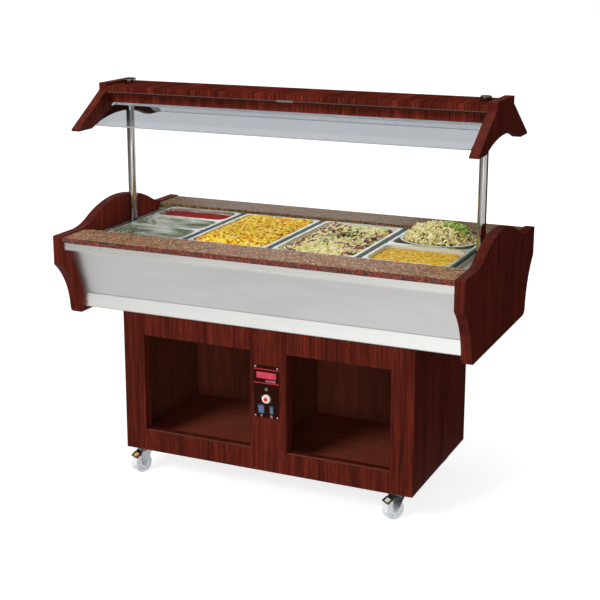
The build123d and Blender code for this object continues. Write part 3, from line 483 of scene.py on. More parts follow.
@dataclass(frozen=True)
class Edible:
    """Cooked food: a moist surface whose colour follows each bit's own tint."""

    name: str
    colours: tuple[tuple[float, str], ...]
    blotch_mm: float = 12.0
    blotch: float = 0.25
    relief: float = 0.3
    relief_mm: float = 0.6
    roughness: float = 0.4
    subsurface: float = 0.12
    subsurface_radius: tuple[float, float, float] = (0.004, 0.002, 0.001)
    subsurface_scale: float = 0.6
    gloss: float = 0.4

    @cache
    def material(self) -> Material:
        """Build the material.

        Returns:
            The food's surface.
        """
        made, tree, shader = new_surface(
            self.name, Roughness=self.roughness, Specular_IOR_Level=self.gloss,
            Subsurface_Weight=self.subsurface, Subsurface_Radius=self.subsurface_radius,
            Subsurface_Scale=self.subsurface_scale)
        tint = add_node(tree, "ShaderNodeAttribute", attribute_name="tint")
        blotches = add_node(tree, "ShaderNodeTexNoise", {
            "Vector": (stretched(tree, Grain.ALONG_X, self.blotch_mm, self.blotch_mm), 0), "Scale": 1.0,
            "Detail": 5.0, "Roughness": 0.6})
        both = add_node(tree, "ShaderNodeMix", {0: self.blotch, 2: (tint, "Fac"), 3: (blotches, 0)},
                        data_type="FLOAT")
        colour = add_node(tree, "ShaderNodeValToRGB", {0: (both, 0)}, stops=self.colours)
        ridges = add_node(tree, "ShaderNodeBump", {
            "Height": (blotches, 0), "Strength": self.relief, "Distance": self.relief_mm * MM})
        tree.links.new(colour.outputs[0], shader.inputs["Base Color"])
        tree.links.new(ridges.outputs[0], shader.inputs["Normal"])
        return made


Look = Veneer | Steel | Granite | Plastic | Glass | Edible


class Finish:
    """The buffet's finishes."""

    # Grain that stands upright gives deep red-brown with long dark streaks and hardly a shine.
    upright_veneer = Veneer("lacquered_mahogany_veneer_upright", Grain.UPRIGHT)
    # Grain laid along a board gives streaks that follow its length.
    long_veneer = Veneer("lacquered_mahogany_veneer_lengthwise", Grain.ALONG_X)
    # Grain across the fascias, with the figure down their faces. Its lighter, redder tone is painted light,
    # which offsets the shade that the board casts on them.
    cross_veneer = Veneer("lacquered_mahogany_veneer_over_front", Grain.OVER_FRONT,
                          "#39130c", "#602318", "#893629")
    # The top board is rubbed matt, so it mirrors none of the room and its red stays deep.
    board_veneer = Veneer("matt_lacquered_mahogany_board", Grain.OVER_FRONT,
                          "#30120c", "#521e15", "#7a3125", gloss=0.0)
    # Boards inside the niches are painted a lighter, browner tone than the outer veneer: painted light, which
    # offsets the niches' shade and the red light that their walls throw at each other.
    niche_browns = ("#4c261b", "#5b2c1f", "#693526")
    niche_veneer = Veneer("lacquered_mahogany_niche_boards", Grain.UPRIGHT, *niche_browns)
    # The end panels' inner faces are painted a lighter, warmer red than their outer faces: painted light, for
    # the light that falls on them over the pans.
    panel_veneer = Veneer("lacquered_mahogany_end_panel", Grain.UPRIGHT,
                          inward=("#46160f", "#6c261a", "#943726"))
    # The side boards' inner faces are the niches' walls, so they share the niches' browns, which are painted
    # light.
    side_veneer = Veneer("lacquered_mahogany_side_board", Grain.UPRIGHT, inward=niche_browns)
    # The niche floor is painted paler than the other boards: painted light, for the light that falls on it
    # from the front.
    niche_floor = Veneer("worn_lacquered_mahogany_floor", Grain.ALONG_X, "#7a392a", "#8a4231", "#9a4e3a")
    # A pale band along each sill is a painted highlight, for the light that falls on the sill's top face.
    edge_band = Veneer("worn_mahogany_edge_band", Grain.ALONG_X, "#6d3a2c", "#7c4636", "#8a5240")

    # Sheet brushed lengthwise blurs the room to a soft grey with faint long lines.
    brushed = Steel("brushed_stainless_steel", "#b9b9b8", "#c6c6c4", roughness=(0.3, 0.42))
    # A satin-brushed rail, painted lighter than the other brushed steel: a painted highlight along the
    # counter's top.
    rail = Steel("satin_brushed_stainless_top_rail", "#dcdbd5", "#efeee9", roughness=(0.22, 0.32))
    # The same satin on the foot rail, painted nearly white: partly the pale floor that it mirrors, partly a
    # painted reflection.
    foot_rail = Steel("satin_brushed_stainless_foot_rail", "#eeeeea", "#f6f6f3",
                      roughness=(0.25, 0.3), relief=0.02)
    # Pressed pans, scoured many times, give a cloudy light grey with the food's colour in it.
    pan = Steel("scoured_stainless_pan", "#d6dad2", "#f4f6f0", line_mm=(9.0, 34.0),
                roughness=(0.3, 0.46), relief=0.02, metal=0.42)
    # The faces that look up from the rims are painted whiter, with darker breaks: a painted highlight along
    # the rims.
    pan_rim = Steel("polished_stainless_pan_rim", "#bfc6bb", "#fcfdfb", line_mm=(6.0, 60.0),
                    roughness=(0.2, 0.32), relief=0.02, metal=0.6, spread=0.1)
    # The third pans' walls are painted in streaks from green-grey to white: painted reflections and
    # highlights.
    bright_pan = Steel("deep_drawn_stainless_pan", "#8b9480", "#fbfdf3", line_mm=(9.0, 120.0),
                      roughness=(0.2, 0.3), relief=0.02, metal=0.5, spread=0.07)
    # Bead blasting gives an even, faintly green grey without lines. Its light tone is partly painted light,
    # lifted to offset the shade that the front ledge casts on the deck.
    deck = Steel("bead_blasted_stainless_deck", "#d3e0cf", "#e6efe2", line_mm=(14.0, 40.0),
                 roughness=(0.42, 0.55), relief=0.02, metal=0.5)
    # Stainless bars low between the pans, painted a dark green-grey: a painted reflection of the pans' walls
    # and painted shade between them.
    bar = Steel("satin_brushed_stainless_bar", "#1e302e", "#304844", Grain.ALONG_Y,
                roughness=(0.3, 0.42), metal=0.2, gloss=0.06)
    # The tray sheet is painted dark grey: painted shade under the board, which gives a dark line below its
    # edge.
    tray = Steel("heat_darkened_steel_tray", "#2b2f2c", "#3d423e")
    # Chrome over polished tube gives sharp dark and light lines down the posts.
    chrome = Steel("chromed_steel_tube", "#a8a5a2", "#b8b5b2", Grain.UPRIGHT,
                   roughness=(0.05, 0.09), relief=0.0)
    # Zinc plated in a bath gives a patchy light grey.
    zinc = Steel("zinc_plated_steel_pressing", "#8d9194", "#c3c7ca", line_mm=(5.0, 7.0),
                 roughness=(0.24, 0.4))
    # Nickel plate gone dull gives a brownish grey.
    nickel = Steel("aged_nickel_plated_brass", "#6f6a60", "#857f74", roughness=(0.4, 0.5), metal=0.6)

    # A sprayed coat of primer gives the hem a dull brown-grey.
    hem = Plastic("sprayed_hem_primer", "#5c4b45", "#50403a", roughness=0.5, gloss=0.1)
    # A dark strip below each hem is painted shadow, for the shade in the gap under the board's edge.
    seal = Plastic("extruded_brown_rubber_seal", "#341a13", "#2c150f", roughness=0.6, gloss=0.04)
    # Stoved enamel gives an even white. Its glow stands for the light that the pane keeps off it.
    lip_enamel = Plastic("white_stoved_enamel", "#f4f6f6", "#e9ecec", roughness=0.5, glow=0.35)
    # A moulded plug gives each post a flat black top.
    cap_plug = Plastic("moulded_black_nylon_plug", "#1c1d1f", "#151617", roughness=0.5, gloss=0.05)
    # Sprayed paint gives the control plate a nearly black brown without mirror.
    plate_paint = Plastic("sprayed_dark_brown_plate_paint", "#2a0d08", "#200906", roughness=0.5, gloss=0.04)
    # Sprayed paint over steel gives a cool black with a soft sheen.
    dark_paint = Plastic("sprayed_dark_steel_paint", "#24262b", "#17181b")
    # Screen printing gives flat bars of one ink each, from red to a pale grey-rose.
    red_print = Plastic("red_screen_print", "#b92a34", "#a3212b", roughness=0.45)
    rose_print = Plastic("rose_screen_print", "#cf4356", "#b92a40", roughness=0.45)
    soft_print = Plastic("soft_rose_screen_print", "#b56a70", "#8e4a52", roughness=0.45)
    pale_print = Plastic("pale_screen_print", "#a87f78", "#8f645e", roughness=0.45)
    # Nickel plate on small domed heads gives pale dots.
    screw_plate = Plastic("nickel_plated_screw_head", "#cdbfbc", "#b5a5a2", roughness=0.3)
    # Moulded ABS gives clean white and red parts with a soft sheen.
    white_plastic = Plastic("moulded_white_abs", "#ebe7e2", "#ddd8d2")
    red_plastic = Plastic("moulded_red_abs", "#d9220f", "#c31a0b")
    # Moulded acrylic over a dark housing gives a deep grey-blue with a clear shine.
    blue_plastic = Plastic("moulded_blue_acrylic", "#5a6f92", "#46597a", roughness=0.22)
    # A moulded lens with no lamp lit behind it gives a dull green.
    green_lens = Plastic("moulded_green_acrylic_lens", "#677a55", "#4f6243", roughness=0.2)
    # Sprayed paint, rubbed by shoes, gives a soft yellow.
    yellow_paint = Plastic("sprayed_yellow_pedal_paint", "#e2c958", "#cdb143", roughness=0.4)
    # Moulded rubber gives a dull black.
    rubber = Plastic("moulded_black_rubber", "#202124", "#141517", roughness=0.6)
    # Moulded nylon gives wheels that are nearly white, with a soft shine. Their white is partly painted
    # light, lifted to offset the shade under the cabinet.
    nylon = Plastic("moulded_grey_nylon", "#f6f7fb", "#e6e8ee", roughness=0.3)

    # Polishing gives specks of brown, rose and black with a low shine.
    granite = Granite("polished_brown_granite")
    # The rear ledge is painted a greyer, darker brown: painted shade, for the canopy's shadow on it.
    rear_granite = Granite("polished_grey_brown_granite", (
        "#524229", "#6f5a3c", "#836945", "#635d3f", "#8b7a55"))
    # Tinted float glass gives a grey veil over what stands behind it.
    glass = Glass("tinted_float_glass")
    # Clear float glass is hardly seen, which gives a view through the rear pane.
    clear_glass = Glass("clear_float_glass", tint="#eef0f1")
    # Edges ground flat scatter light, which makes them pale along the panes. The ends against the brackets
    # are painted dark red-brown: a painted reflection of the brackets' wood.
    ground_rim = Plastic("ground_glass_rim", "#b3b7ba", "#a6abae", roughness=0.5, gloss=0.1)
    ground_end = Plastic("ground_glass_end", "#2c1611", "#24110d", roughness=0.6, gloss=0.02)
    # Phosphor inside the tube gives an even warm white.
    lamp_glass = Plastic("phosphor_coated_glass", "#f4f2ea", "#ebe8dd", roughness=0.15)

    # Steamed kernels give gold to pale yellow, each its own shade, with an orange root.
    corn = Edible("steamed_sweetcorn", (
        (0.08, "#b3480c"), (0.2, "#dc8d12"), (0.36, "#efb918"), (0.6, "#f9d820"), (0.88, "#fbec86")),
        roughness=0.35, blotch=0.12, gloss=0.12)
    # The bed under the kernels is painted a darker brown gold: painted shade in the gaps between the kernels.
    corn_bed = Edible("steamed_sweetcorn_in_shade", ((0.3, "#97580f"), (0.7, "#c48a1c")))
    # Stirred dressing gives a creamy ground with yellow hollows.
    dressing = Edible("stirred_creamy_dressing", (
        (0.3, "#d2c26f"), (0.5, "#efe298"), (0.7, "#fbf3c0")), roughness=0.35)
    # Boiled pasta gives pale, moist yellow.
    pasta = Edible("boiled_pasta", ((0.2, "#e3d27e"), (0.5, "#f9efa6"), (0.8, "#fffad8")), roughness=0.35)
    # Pickling gives cabbage a dull wine red.
    cabbage = Edible("pickled_red_cabbage", ((0.3, "#6a1f38"), (0.7, "#a04a5c")))
    # Torn leaves give greens from brown-green stalks to light tips.
    leaf = Edible("torn_salad_leaf", (
        (0.25, "#5b4a1e"), (0.42, "#55762c"), (0.62, "#7f9f3f"), (0.85, "#b4c66c")),
        roughness=0.45)
    # Plucked parsley gives a fresh light green.
    parsley = Edible("plucked_fresh_parsley", (
        (0.2, "#7aa038"), (0.5, "#b2d05c"), (0.85, "#e8f5a6")),
        roughness=0.45, subsurface=0.05)
    # Baking gives a yellow crust with brown blotches and pale cheese.
    gratin = Edible("baked_gratin_crust", (
        (0.36, "#b46c08"), (0.44, "#de9f12"), (0.52, "#f4c626"), (0.64, "#fce88a")), blotch_mm=13.0,
        blotch=0.85, subsurface=0.04, roughness=0.45, gloss=0.05)
    # Simmered tomato gives a deep, even red.
    sauce = Edible("simmered_tomato_sauce", (
        (0.3, "#7e0d0d"), (0.6, "#9a1412"), (0.8, "#b0261b")), roughness=0.6, gloss=0.05)
    # Boiled egg noodles give a glossy straw yellow.
    noodle = Edible("boiled_egg_noodle", (
        (0.2, "#c0ad60"), (0.5, "#ecdf96"), (0.8, "#fcf5cc")), roughness=0.32)
    # The heap's core is painted the brown of its gaps: painted shade deep in the heap.
    noodle_shade = Edible("boiled_egg_noodle_in_shade", ((0.3, "#5b4a22"), (0.7, "#85713a")))


def deselect() -> None:
    """Leave edit mode and select nothing."""
    if bpy.context.mode != "OBJECT":
        bpy.ops.object.mode_set(mode="OBJECT")
    bpy.ops.object.select_all(action="DESELECT")


def activate(piece: Object) -> None:
    """Select one object alone and make it active.

    Args:
        piece: The object.
    """
    deselect()
    piece.select_set(True)
    bpy.context.view_layer.objects.active = piece


def settle(piece: Object) -> None:
    """Move an object's place, turn and scale into its mesh."""
    activate(piece)
    bpy.ops.object.transform_apply(location=True, rotation=True, scale=True)


def apply_bevel(piece: Object, width: float, segments: int = 2, angle: float = CREASE_DEGREES,
                by_weight: bool = False) -> None:
    """Round an object's sharp edges with an applied Bevel modifier.

    Args:
        piece: The object.
        width: Bevel width in metres.
        segments: Number of bevel segments.
        angle: Least edge angle in degrees.
        by_weight: True to bevel only the edges that carry a weight.
    """
    activate(piece)
    if width:
        bevel = piece.modifiers.new("ease", "BEVEL")
        bevel.width = width
        bevel.segments = segments
        bevel.limit_method = "WEIGHT" if by_weight else "ANGLE"
        bevel.angle_limit = math.radians(angle)
        bevel.use_clamp_overlap = True
        bpy.ops.object.modifier_apply(modifier=bevel.name)
    bpy.ops.object.shade_smooth_by_angle(angle=math.radians(angle))
    flat = piece.modifiers.new("flat_faces", "WEIGHTED_NORMAL")
    flat.keep_sharp = True
    bpy.ops.object.modifier_apply(modifier=flat.name)


def block(name: str, low: Sequence[float], high: Sequence[float], ease: float = 0.4 * MM,
          segments: int = 2) -> Object:
    """Add a rounded block between two corners.

    Args:
        name: The piece's name.
        low: Lowest corner in metres.
        high: Highest corner in metres.
        ease: Radius of its edges.
        segments: Bevel segments.

    Returns:
        The block.
    """
    deselect()
    centre = [(a + b) / 2 for a, b in zip(low, high)]
    size = [b - a for a, b in zip(low, high)]
    bpy.ops.mesh.primitive_cube_add(size=1, location=centre, scale=size)
    piece = bpy.context.object
    piece.name = name
    settle(piece)
    if ease:
        apply_bevel(piece, ease, segments)
    return piece


def turned(name: str, foot: Sequence[float], axis: Sequence[float], rings: Sequence[tuple[float, float]],
           sides: int = 48) -> Object:
    """Turn a round piece: a disc extruded and resized ring by ring along its axis.

    Args:
        name: The piece's name.
        foot: Point that the distances along the axis start from.
        axis: Direction of the axis.
        rings: Radius and distance along the axis of each ring, in metres.
        sides: Number of sides.

    Returns:
        The turned piece.
    """
    deselect()
    bpy.ops.mesh.primitive_circle_add(vertices=sides, radius=rings[0][0], fill_type="NGON",
                                      location=(0, 0, rings[0][1]))
    piece = bpy.context.object
    piece.name = name
    settle(piece)
    bpy.ops.object.mode_set(mode="EDIT")
    bpy.ops.mesh.select_all(action="SELECT")
    for (radius, start), (next_radius, end) in pairwise(rings):
        bpy.ops.mesh.extrude_region_move(TRANSFORM_OT_translate={"value": (0, 0, end - start)})
        share = next_radius / radius
        bpy.ops.transform.resize(value=(share, share, 1), center_override=(0, 0, end))
    bpy.ops.mesh.select_all(action="SELECT")
    bpy.ops.mesh.remove_doubles(threshold=1e-7)
    bpy.ops.mesh.normals_make_consistent(inside=False)
    bpy.ops.object.mode_set(mode="OBJECT")
    piece.rotation_mode = "QUATERNION"
    piece.rotation_quaternion = Vector((0, 0, 1)).rotation_difference(Vector(axis))
    piece.location = foot
    settle(piece)
    bpy.ops.object.shade_smooth_by_angle(angle=math.radians(CREASE_DEGREES))
    return piece


def node_copy(name: str, node: str) -> Object:
    """Copy a CAD node's mesh as a new piece, with its loose triangles merged into faces.

    Args:
        name: The new piece's name.
        node: The CAD node.

    Returns:
        The copy, with no material and no parent.
    """
    piece = bpy.data.objects.new(name, frame["nodes"][node].data.copy())
    bpy.context.scene.collection.objects.link(piece)
    piece.data.materials.clear()
    activate(piece)
    bpy.ops.object.mode_set(mode="EDIT")
    bpy.ops.mesh.select_all(action="SELECT")
    bpy.ops.mesh.remove_doubles(threshold=MERGE_DISTANCE)
    bpy.ops.mesh.customdata_custom_splitnormals_clear()
    bpy.ops.mesh.dissolve_limited(angle_limit=math.radians(FLAT_DEGREES))
    bpy.ops.object.mode_set(mode="OBJECT")
    return piece


def eased(name: str, node: str, width_mm: float = 0.0, segments: int = 2, angle: float = CREASE_DEGREES,
          keep: Callable[[Vector], bool] | None = None) -> Object:
    """Copy a CAD node with rounded edges, and let the copy stand for it.

    Args:
        name: The new piece's name.
        node: The CAD node.
        width_mm: Radius of the eased edges. Zero keeps them as they are.
        segments: Bevel segments.
        angle: Least edge angle in degrees.
        keep: Says of both ends of a sharp edge whether it is eased. None eases them all.

    Returns:
        The eased piece.
    """
    piece = node_copy(name, node)
    if keep:
        shape = bmesh.new()
        shape.from_mesh(piece.data)
        chosen = [float(edge.calc_face_angle(0.0) > math.radians(angle)
                        and all(keep(end.co) for end in edge.verts)) for edge in shape.edges]
        shape.free()
        weights = piece.data.attributes.new("bevel_weight_edge", "FLOAT", "EDGE")
        weights.data.foreach_set("value", chosen)
    apply_bevel(piece, width_mm * MM, segments, angle, by_weight=keep is not None)
    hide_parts(node)
    return piece


def thicken(piece: Object, wall: float) -> None:
    """Give the active object's skin a wall with an applied Solidify modifier.

    Args:
        piece: The object.
        wall: The wall's thickness.
    """
    skin = piece.modifiers.new("wall", "SOLIDIFY")
    skin.thickness = wall
    bpy.ops.object.modifier_apply(modifier=skin.name)


def dress(piece: Object, material: Material) -> None:
    """Give a piece one material."""
    piece.data.materials.clear()
    piece.data.materials.append(material)


def place(piece: Object, finish: Look, slot: str, body: str = "root") -> Object:
    """Dress a new piece and let it ride on a body.

    Args:
        piece: The new piece.
        finish: Its finish.
        slot: The record's material slot. Not used.
        body: The CAD body that it rides on.

    Returns:
        The same piece.
    """
    dress(piece, finish.material())
    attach(piece, body)
    return piece


def dress_part(piece: Object, finish: Look, chosen: Callable[[MeshPolygon], bool]) -> None:
    """Give some faces of a dressed piece another finish.

    Args:
        piece: The piece.
        finish: Their finish.
        chosen: Says of each face whether it takes it.
    """
    piece.data.materials.append(finish.material())
    last = len(piece.data.materials) - 1
    for face in piece.data.polygons:
        if chosen(face):
            face.material_index = last


@dataclass(frozen=True)
class Span:
    """The box of a CAD node at rest."""

    low: Vector
    high: Vector

    @classmethod
    @cache
    def of(cls, node: str) -> "Span":
        """Read a node's box."""
        return cls(*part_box(node))

    @property
    def centre(self) -> Vector:
        """Middle of the box."""
        return (self.low + self.high) / 2

    @property
    def size(self) -> Vector:
        """Lengths of the box's sides."""
        return self.high - self.low


def box_radius(x: float, y: float, half_x: float, half_y: float, corner: float) -> float:
    """Distance of a point past the sides of a rectangle with round corners.

    Args:
        x: Distance from the rectangle's middle.
        y: The same, the other way.
        half_x: Half the rectangle's width.
        half_y: Half its length.
        corner: Radius of its corners.

    Returns:
        A negative number inside the rectangle.
    """
    out_x = abs(x) - half_x + corner
    out_y = abs(y) - half_y + corner
    return math.hypot(max(out_x, 0), max(out_y, 0)) + min(max(out_x, out_y), 0) - corner


def tinted(piece: Object, tints: Sequence[float]) -> None:
    """Store a tint from 0 to 1 on each vertex."""
    layer = piece.data.attributes.new("tint", "FLOAT", "POINT")
    layer.data.foreach_set("value", list(tints))


def scattered(name: str, source: Object, places: Sequence[Matrix],
              tints: Sequence[float]) -> Object:
    """Copy a small modelled bit many times into one piece, and remove the bit.

    Args:
        name: The piece's name.
        source: The bit that is copied.
        places: Where each copy goes.
        tints: Tint of each copy.

    Returns:
        The piece.
    """
    shape = np.array([vertex.co for vertex in source.data.vertices])
    faces = [tuple(face.vertices) for face in source.data.polygons]
    points = np.concatenate([
        shape @ np.array(spot.to_3x3()).T + np.array(spot.translation) for spot in places])
    copies = [tuple(i * len(shape) + corner for corner in face)
              for i in range(len(places)) for face in faces]
    mesh = bpy.data.meshes.new(name)
    mesh.from_pydata(points.tolist(), [], copies)
    mesh.shade_smooth()
    piece = bpy.data.objects.new(name, mesh)
    bpy.context.scene.collection.objects.link(piece)
    tinted(piece, [tint for tint in tints for _ in shape])
    bpy.data.objects.remove(source)
    return piece


def turned_matrix(place: Sequence[float], turn: Sequence[float], size: Sequence[float]) -> Matrix:
    """A place, three turns about X, Y and Z, and a size along each axis, as one matrix."""
    about_x, about_y, about_z = (Matrix.Rotation(angle, 4, axis) for angle, axis in zip(turn, "XYZ"))
    return Matrix.Translation(place) @ (about_z @ about_y @ about_x) @ Matrix.Diagonal((*size, 1))


class SubAssembly(ABC):
    """A part of the buffet or of its studio, with its sizes and the methods that build it."""

    @abstractmethod
    def build(self) -> None:
        """Build all its pieces."""


@dataclass
class BaseCabinet(SubAssembly):
    """Veneered cabinet that stands on the casters, with two open niches at the front."""

    front_edge_mm: float = 1.5
    board_edge_mm: float = 0.8
    front_depth_mm: float = 0.1
    plate_zone_x: tuple[float, float] = (-0.045, 0.08)
    plate_zone_z: tuple[float, float] = (0.3, 0.53)
    sill_mm: float = 83.0
    band_mm: tuple[float, float] = (1.6, 17.0)
    band_thick_mm: float = 0.4
    band_edge_mm: float = 0.1
    stile_mm: float = 88.0
    centre_stile_mm: tuple[float, float] = (-50.0, 97.0)

    def on_open_front(self, point: Vector) -> bool:
        """Tell whether a point lies on the front face, away from the control plate.

        Args:
            point: The point.

        Returns:
            True if it does.
        """
        front = Span.of("base_front_frame").low.y
        beside = not self.plate_zone_x[0] < point.x < self.plate_zone_x[1]
        above = not self.plate_zone_z[0] < point.z < self.plate_zone_z[1]
        return abs(point.y - front) < self.front_depth_mm * MM and (beside or above)

    def edge_bands(self) -> None:
        """Lay a pale band along the sill of each niche: a painted highlight where light falls on the sill's
        top.
        """
        face = Span.of("base_front_frame")
        outer, sill = self.stile_mm * MM, face.low.z + self.sill_mm * MM
        start, end = (face.low.y + depth * MM for depth in self.band_mm)
        for side, left, right in (("left", face.low.x + outer, self.centre_stile_mm[0] * MM),
                                  ("right", self.centre_stile_mm[1] * MM, face.high.x - outer)):
            band = block(f"niche_edge_band_{side}", (left, start, sill),
                         (right, end, sill + self.band_thick_mm * MM), self.band_edge_mm * MM)
            place(band, Finish.edge_band, "mahogany_veneer")

    def build(self) -> None:
        """Ease the boards' edges and veneer them."""
        face = eased("niche_face_frame", "base_front_frame", self.front_edge_mm, 3, keep=self.on_open_front)
        place(face, Finish.upright_veneer, "mahogany_veneer")
        boards = {"base_left_side": ("left_side_board", Finish.side_veneer),
                  "base_right_side": ("right_side_board", Finish.side_veneer),
                  "base_back": ("back_board", Finish.upright_veneer),
                  "niche_lining": ("niche_inner_boards", Finish.niche_veneer),
                  "base_floor": ("niche_floor_board", Finish.niche_floor),
                  "base_top": ("cabinet_top_board", Finish.long_veneer)}
        for node, (name, veneer) in boards.items():
            place(eased(name, node, self.board_edge_mm), veneer, "mahogany_veneer")
        self.edge_bands()
        place(eased("rear_cable_gland", "cord_gland"), Finish.rubber, "black_plastic")


@dataclass
class ControlPanel(SubAssembly):
    """Dark control plate with its lamp, thermostat dial, rocker switches and plain printed bars."""

    print_mm: float = 0.25
    print_edge_mm: float = 0.08
    bars_mm: tuple[tuple[float, float, float, float], ...] = (
        (-50.0, 50.0, 84.5, 88.0), (-40.0, 39.0, 51.0, 75.0), (-3.0, 37.0, 37.5, 46.0),
        (-50.0, 50.0, 31.5, 35.0))
    tick_count: int = 11
    tick_circle_mm: float = 21.5
    tick_half_mm: tuple[float, float] = (0.5, 1.6)
    dial_sweep: float = 270.0
    hub_rings_mm: tuple[tuple[float, float], ...] = ((7.5, 0.0), (7.5, 0.6), (6.6, 1.1))
    pointer_mm: tuple[float, float, float, float] = (0.7, 0.35, 7.8, 10.6)
    pointer_edge_mm: float = 0.1
    bezel_radii_mm: tuple[float, float] = (7.4, 7.0)
    bezel_depth_mm: float = 1.0
    bezel_gap_mm: float = 0.1
    bezel_straight: float = 0.6
    rocker_edge_mm: float = 0.5
    patches_mm: tuple[tuple[str, float, float, float, float], ...] = (
        ("wide_switch", -20.0, 4.0, 3.0, 11.5), ("narrow_switch", 20.0, 5.0, 2.5, 12.0))

    def printed(self, name: str, span: tuple[float, float, float, float], ink: Look) -> None:
        """Print a plain rectangle on the plate.

        Args:
            name: The piece's name.
            span: Its left, right, lowest and highest place in metres.
            ink: The ink.
        """
        left, right, low, high = span
        front = Span.of("control_plate").low.y
        patch = block(name, (left, front - self.print_mm * MM, low), (right, front, high),
                      self.print_edge_mm * MM)
        place(patch, ink, "black_plate")

    def bars(self) -> None:
        """Print the red bars on the upper part of the plate."""
        middle = Span.of("control_plate").centre
        inks = (Finish.red_print, Finish.rose_print, Finish.soft_print, Finish.red_print)
        for i, ((left, right, low, high), ink) in enumerate(zip(self.bars_mm, inks)):
            self.printed(f"red_bar_{i}", (middle.x + left * MM, middle.x + right * MM,
                                          middle.z + low * MM, middle.z + high * MM), ink)

    def patches(self) -> None:
        """Print a small plain patch under each switch."""
        plate = Span.of("control_plate")
        for name, shift, half_width, low, high in self.patches_mm:
            x = plate.centre.x + shift * MM
            self.printed(f"plate_patch_{name}", (x - half_width * MM, x + half_width * MM,
                                                 plate.low.z + low * MM, plate.low.z + high * MM),
                         Finish.pale_print)

    def ticks(self) -> None:
        """Ring the dial with short pale ticks."""
        front, dial = Span.of("control_plate").low.y, Span.of("thermostat_knob").centre
        out = self.tick_circle_mm * MM
        half_width, half_length = (size * MM for size in self.tick_half_mm)
        for i in range(self.tick_count):
            turn = math.radians(self.dial_sweep * (i / (self.tick_count - 1) - 0.5))
            tick = block(f"dial_tick_{i}", (-half_width, -self.print_mm * MM, -half_length),
                         (half_width, 0, half_length), 0.0)
            spot = (dial.x + out * math.sin(turn), front, dial.z + out * math.cos(turn))
            tick.matrix_world = Matrix.Translation(spot) @ Matrix.Rotation(turn, 4, "Y")
            settle(tick)
            place(tick, Finish.pale_print, "black_plate")

    def dial(self) -> None:
        """Add the dial's fluted grip, its red hub and its pointer."""
        span = Span.of("thermostat_knob")
        middle, face = span.centre, span.low.y
        place(eased("dial_body", "thermostat_knob"), Finish.white_plastic, "white_plastic", "dial")
        hub = turned("dial_red_hub", (middle.x, face, middle.z), (0, -1, 0),
                     [(radius * MM, rise * MM) for radius, rise in self.hub_rings_mm])
        place(hub, Finish.red_plastic, "white_plastic", "dial")
        half_width, depth, start, end = (size * MM for size in self.pointer_mm)
        pointer = block("dial_pointer", (middle.x - half_width, face - depth, middle.z + start),
                        (middle.x + half_width, face, middle.z + end), self.pointer_edge_mm * MM)
        place(pointer, Finish.red_plastic, "white_plastic", "dial")

    def bezel(self) -> None:
        """Ring the pilot lamp with a turned bezel."""
        lamp = Span.of("pilot_lamp")
        outer, lip = (radius * MM for radius in self.bezel_radii_mm)
        inner, depth = lamp.size.x / 2 + self.bezel_gap_mm * MM, self.bezel_depth_mm * MM
        foot = (lamp.centre.x, Span.of("control_plate").low.y, lamp.centre.z)
        ring = turned("lamp_bezel", foot, (0, -1, 0), [
            (inner, 0.0), (outer, 0.0), (outer, self.bezel_straight * depth), (lip, depth), (inner, depth),
            (inner, 0.0)])
        place(ring, Finish.dark_paint, "chromed_steel")

    def build(self) -> None:
        """Build the control plate's pieces."""
        place(eased("control_plate_sheet", "control_plate"), Finish.plate_paint, "black_plate")
        place(eased("plate_screws", "control_screws"), Finish.screw_plate, "chromed_steel")
        place(eased("switch_housings", "control_bodies"), Finish.dark_paint, "black_plastic")
        place(eased("pilot_lamp_lens", "pilot_lamp"), Finish.green_lens, "green_lens")
        self.bars()
        self.dial()
        self.ticks()
        self.bezel()
        for node in ("wide_rocker", "narrow_rocker"):
            place(eased(f"{node}_key", node, self.rocker_edge_mm), Finish.blue_plastic, "blue_plastic",
                  f"{node}_cap")
        self.patches()


@dataclass
class CounterBody(SubAssembly):
    """Wide steel body between two shaped wooden panels, with granite ledges along both sides."""

    panel_edge_mm: float = 2.2
    rail_edge_mm: float = 2.0
    granite_edge_mm: float = 0.7
    sheet_edge_mm: float = 0.3

    def build(self) -> None:
        """Build the body's outer pieces."""
        for side in ("left", "right"):
            panel = eased(f"shaped_panel_{side}", f"end_panel_{side}", self.panel_edge_mm, 3)
            place(panel, Finish.panel_veneer, "mahogany_veneer")
        for name, node, steel in (("upper_rails", "top_rails", Finish.rail),
                                  ("foot_rails", "lower_rails", Finish.foot_rail)):
            place(eased(name, node, self.rail_edge_mm, 3), steel, "stainless_steel")
        for side, stone in (("front", Finish.granite), ("rear", Finish.rear_granite)):
            place(eased(f"coved_skirt_{side}", f"{side}_skirt", self.sheet_edge_mm), Finish.brushed,
                  "stainless_steel")
            place(eased(f"granite_ledge_{side}", f"granite_{side}", self.granite_edge_mm), stone, "granite")
        place(eased("body_floor_sheet", "body_floor"), Finish.brushed, "stainless_steel")


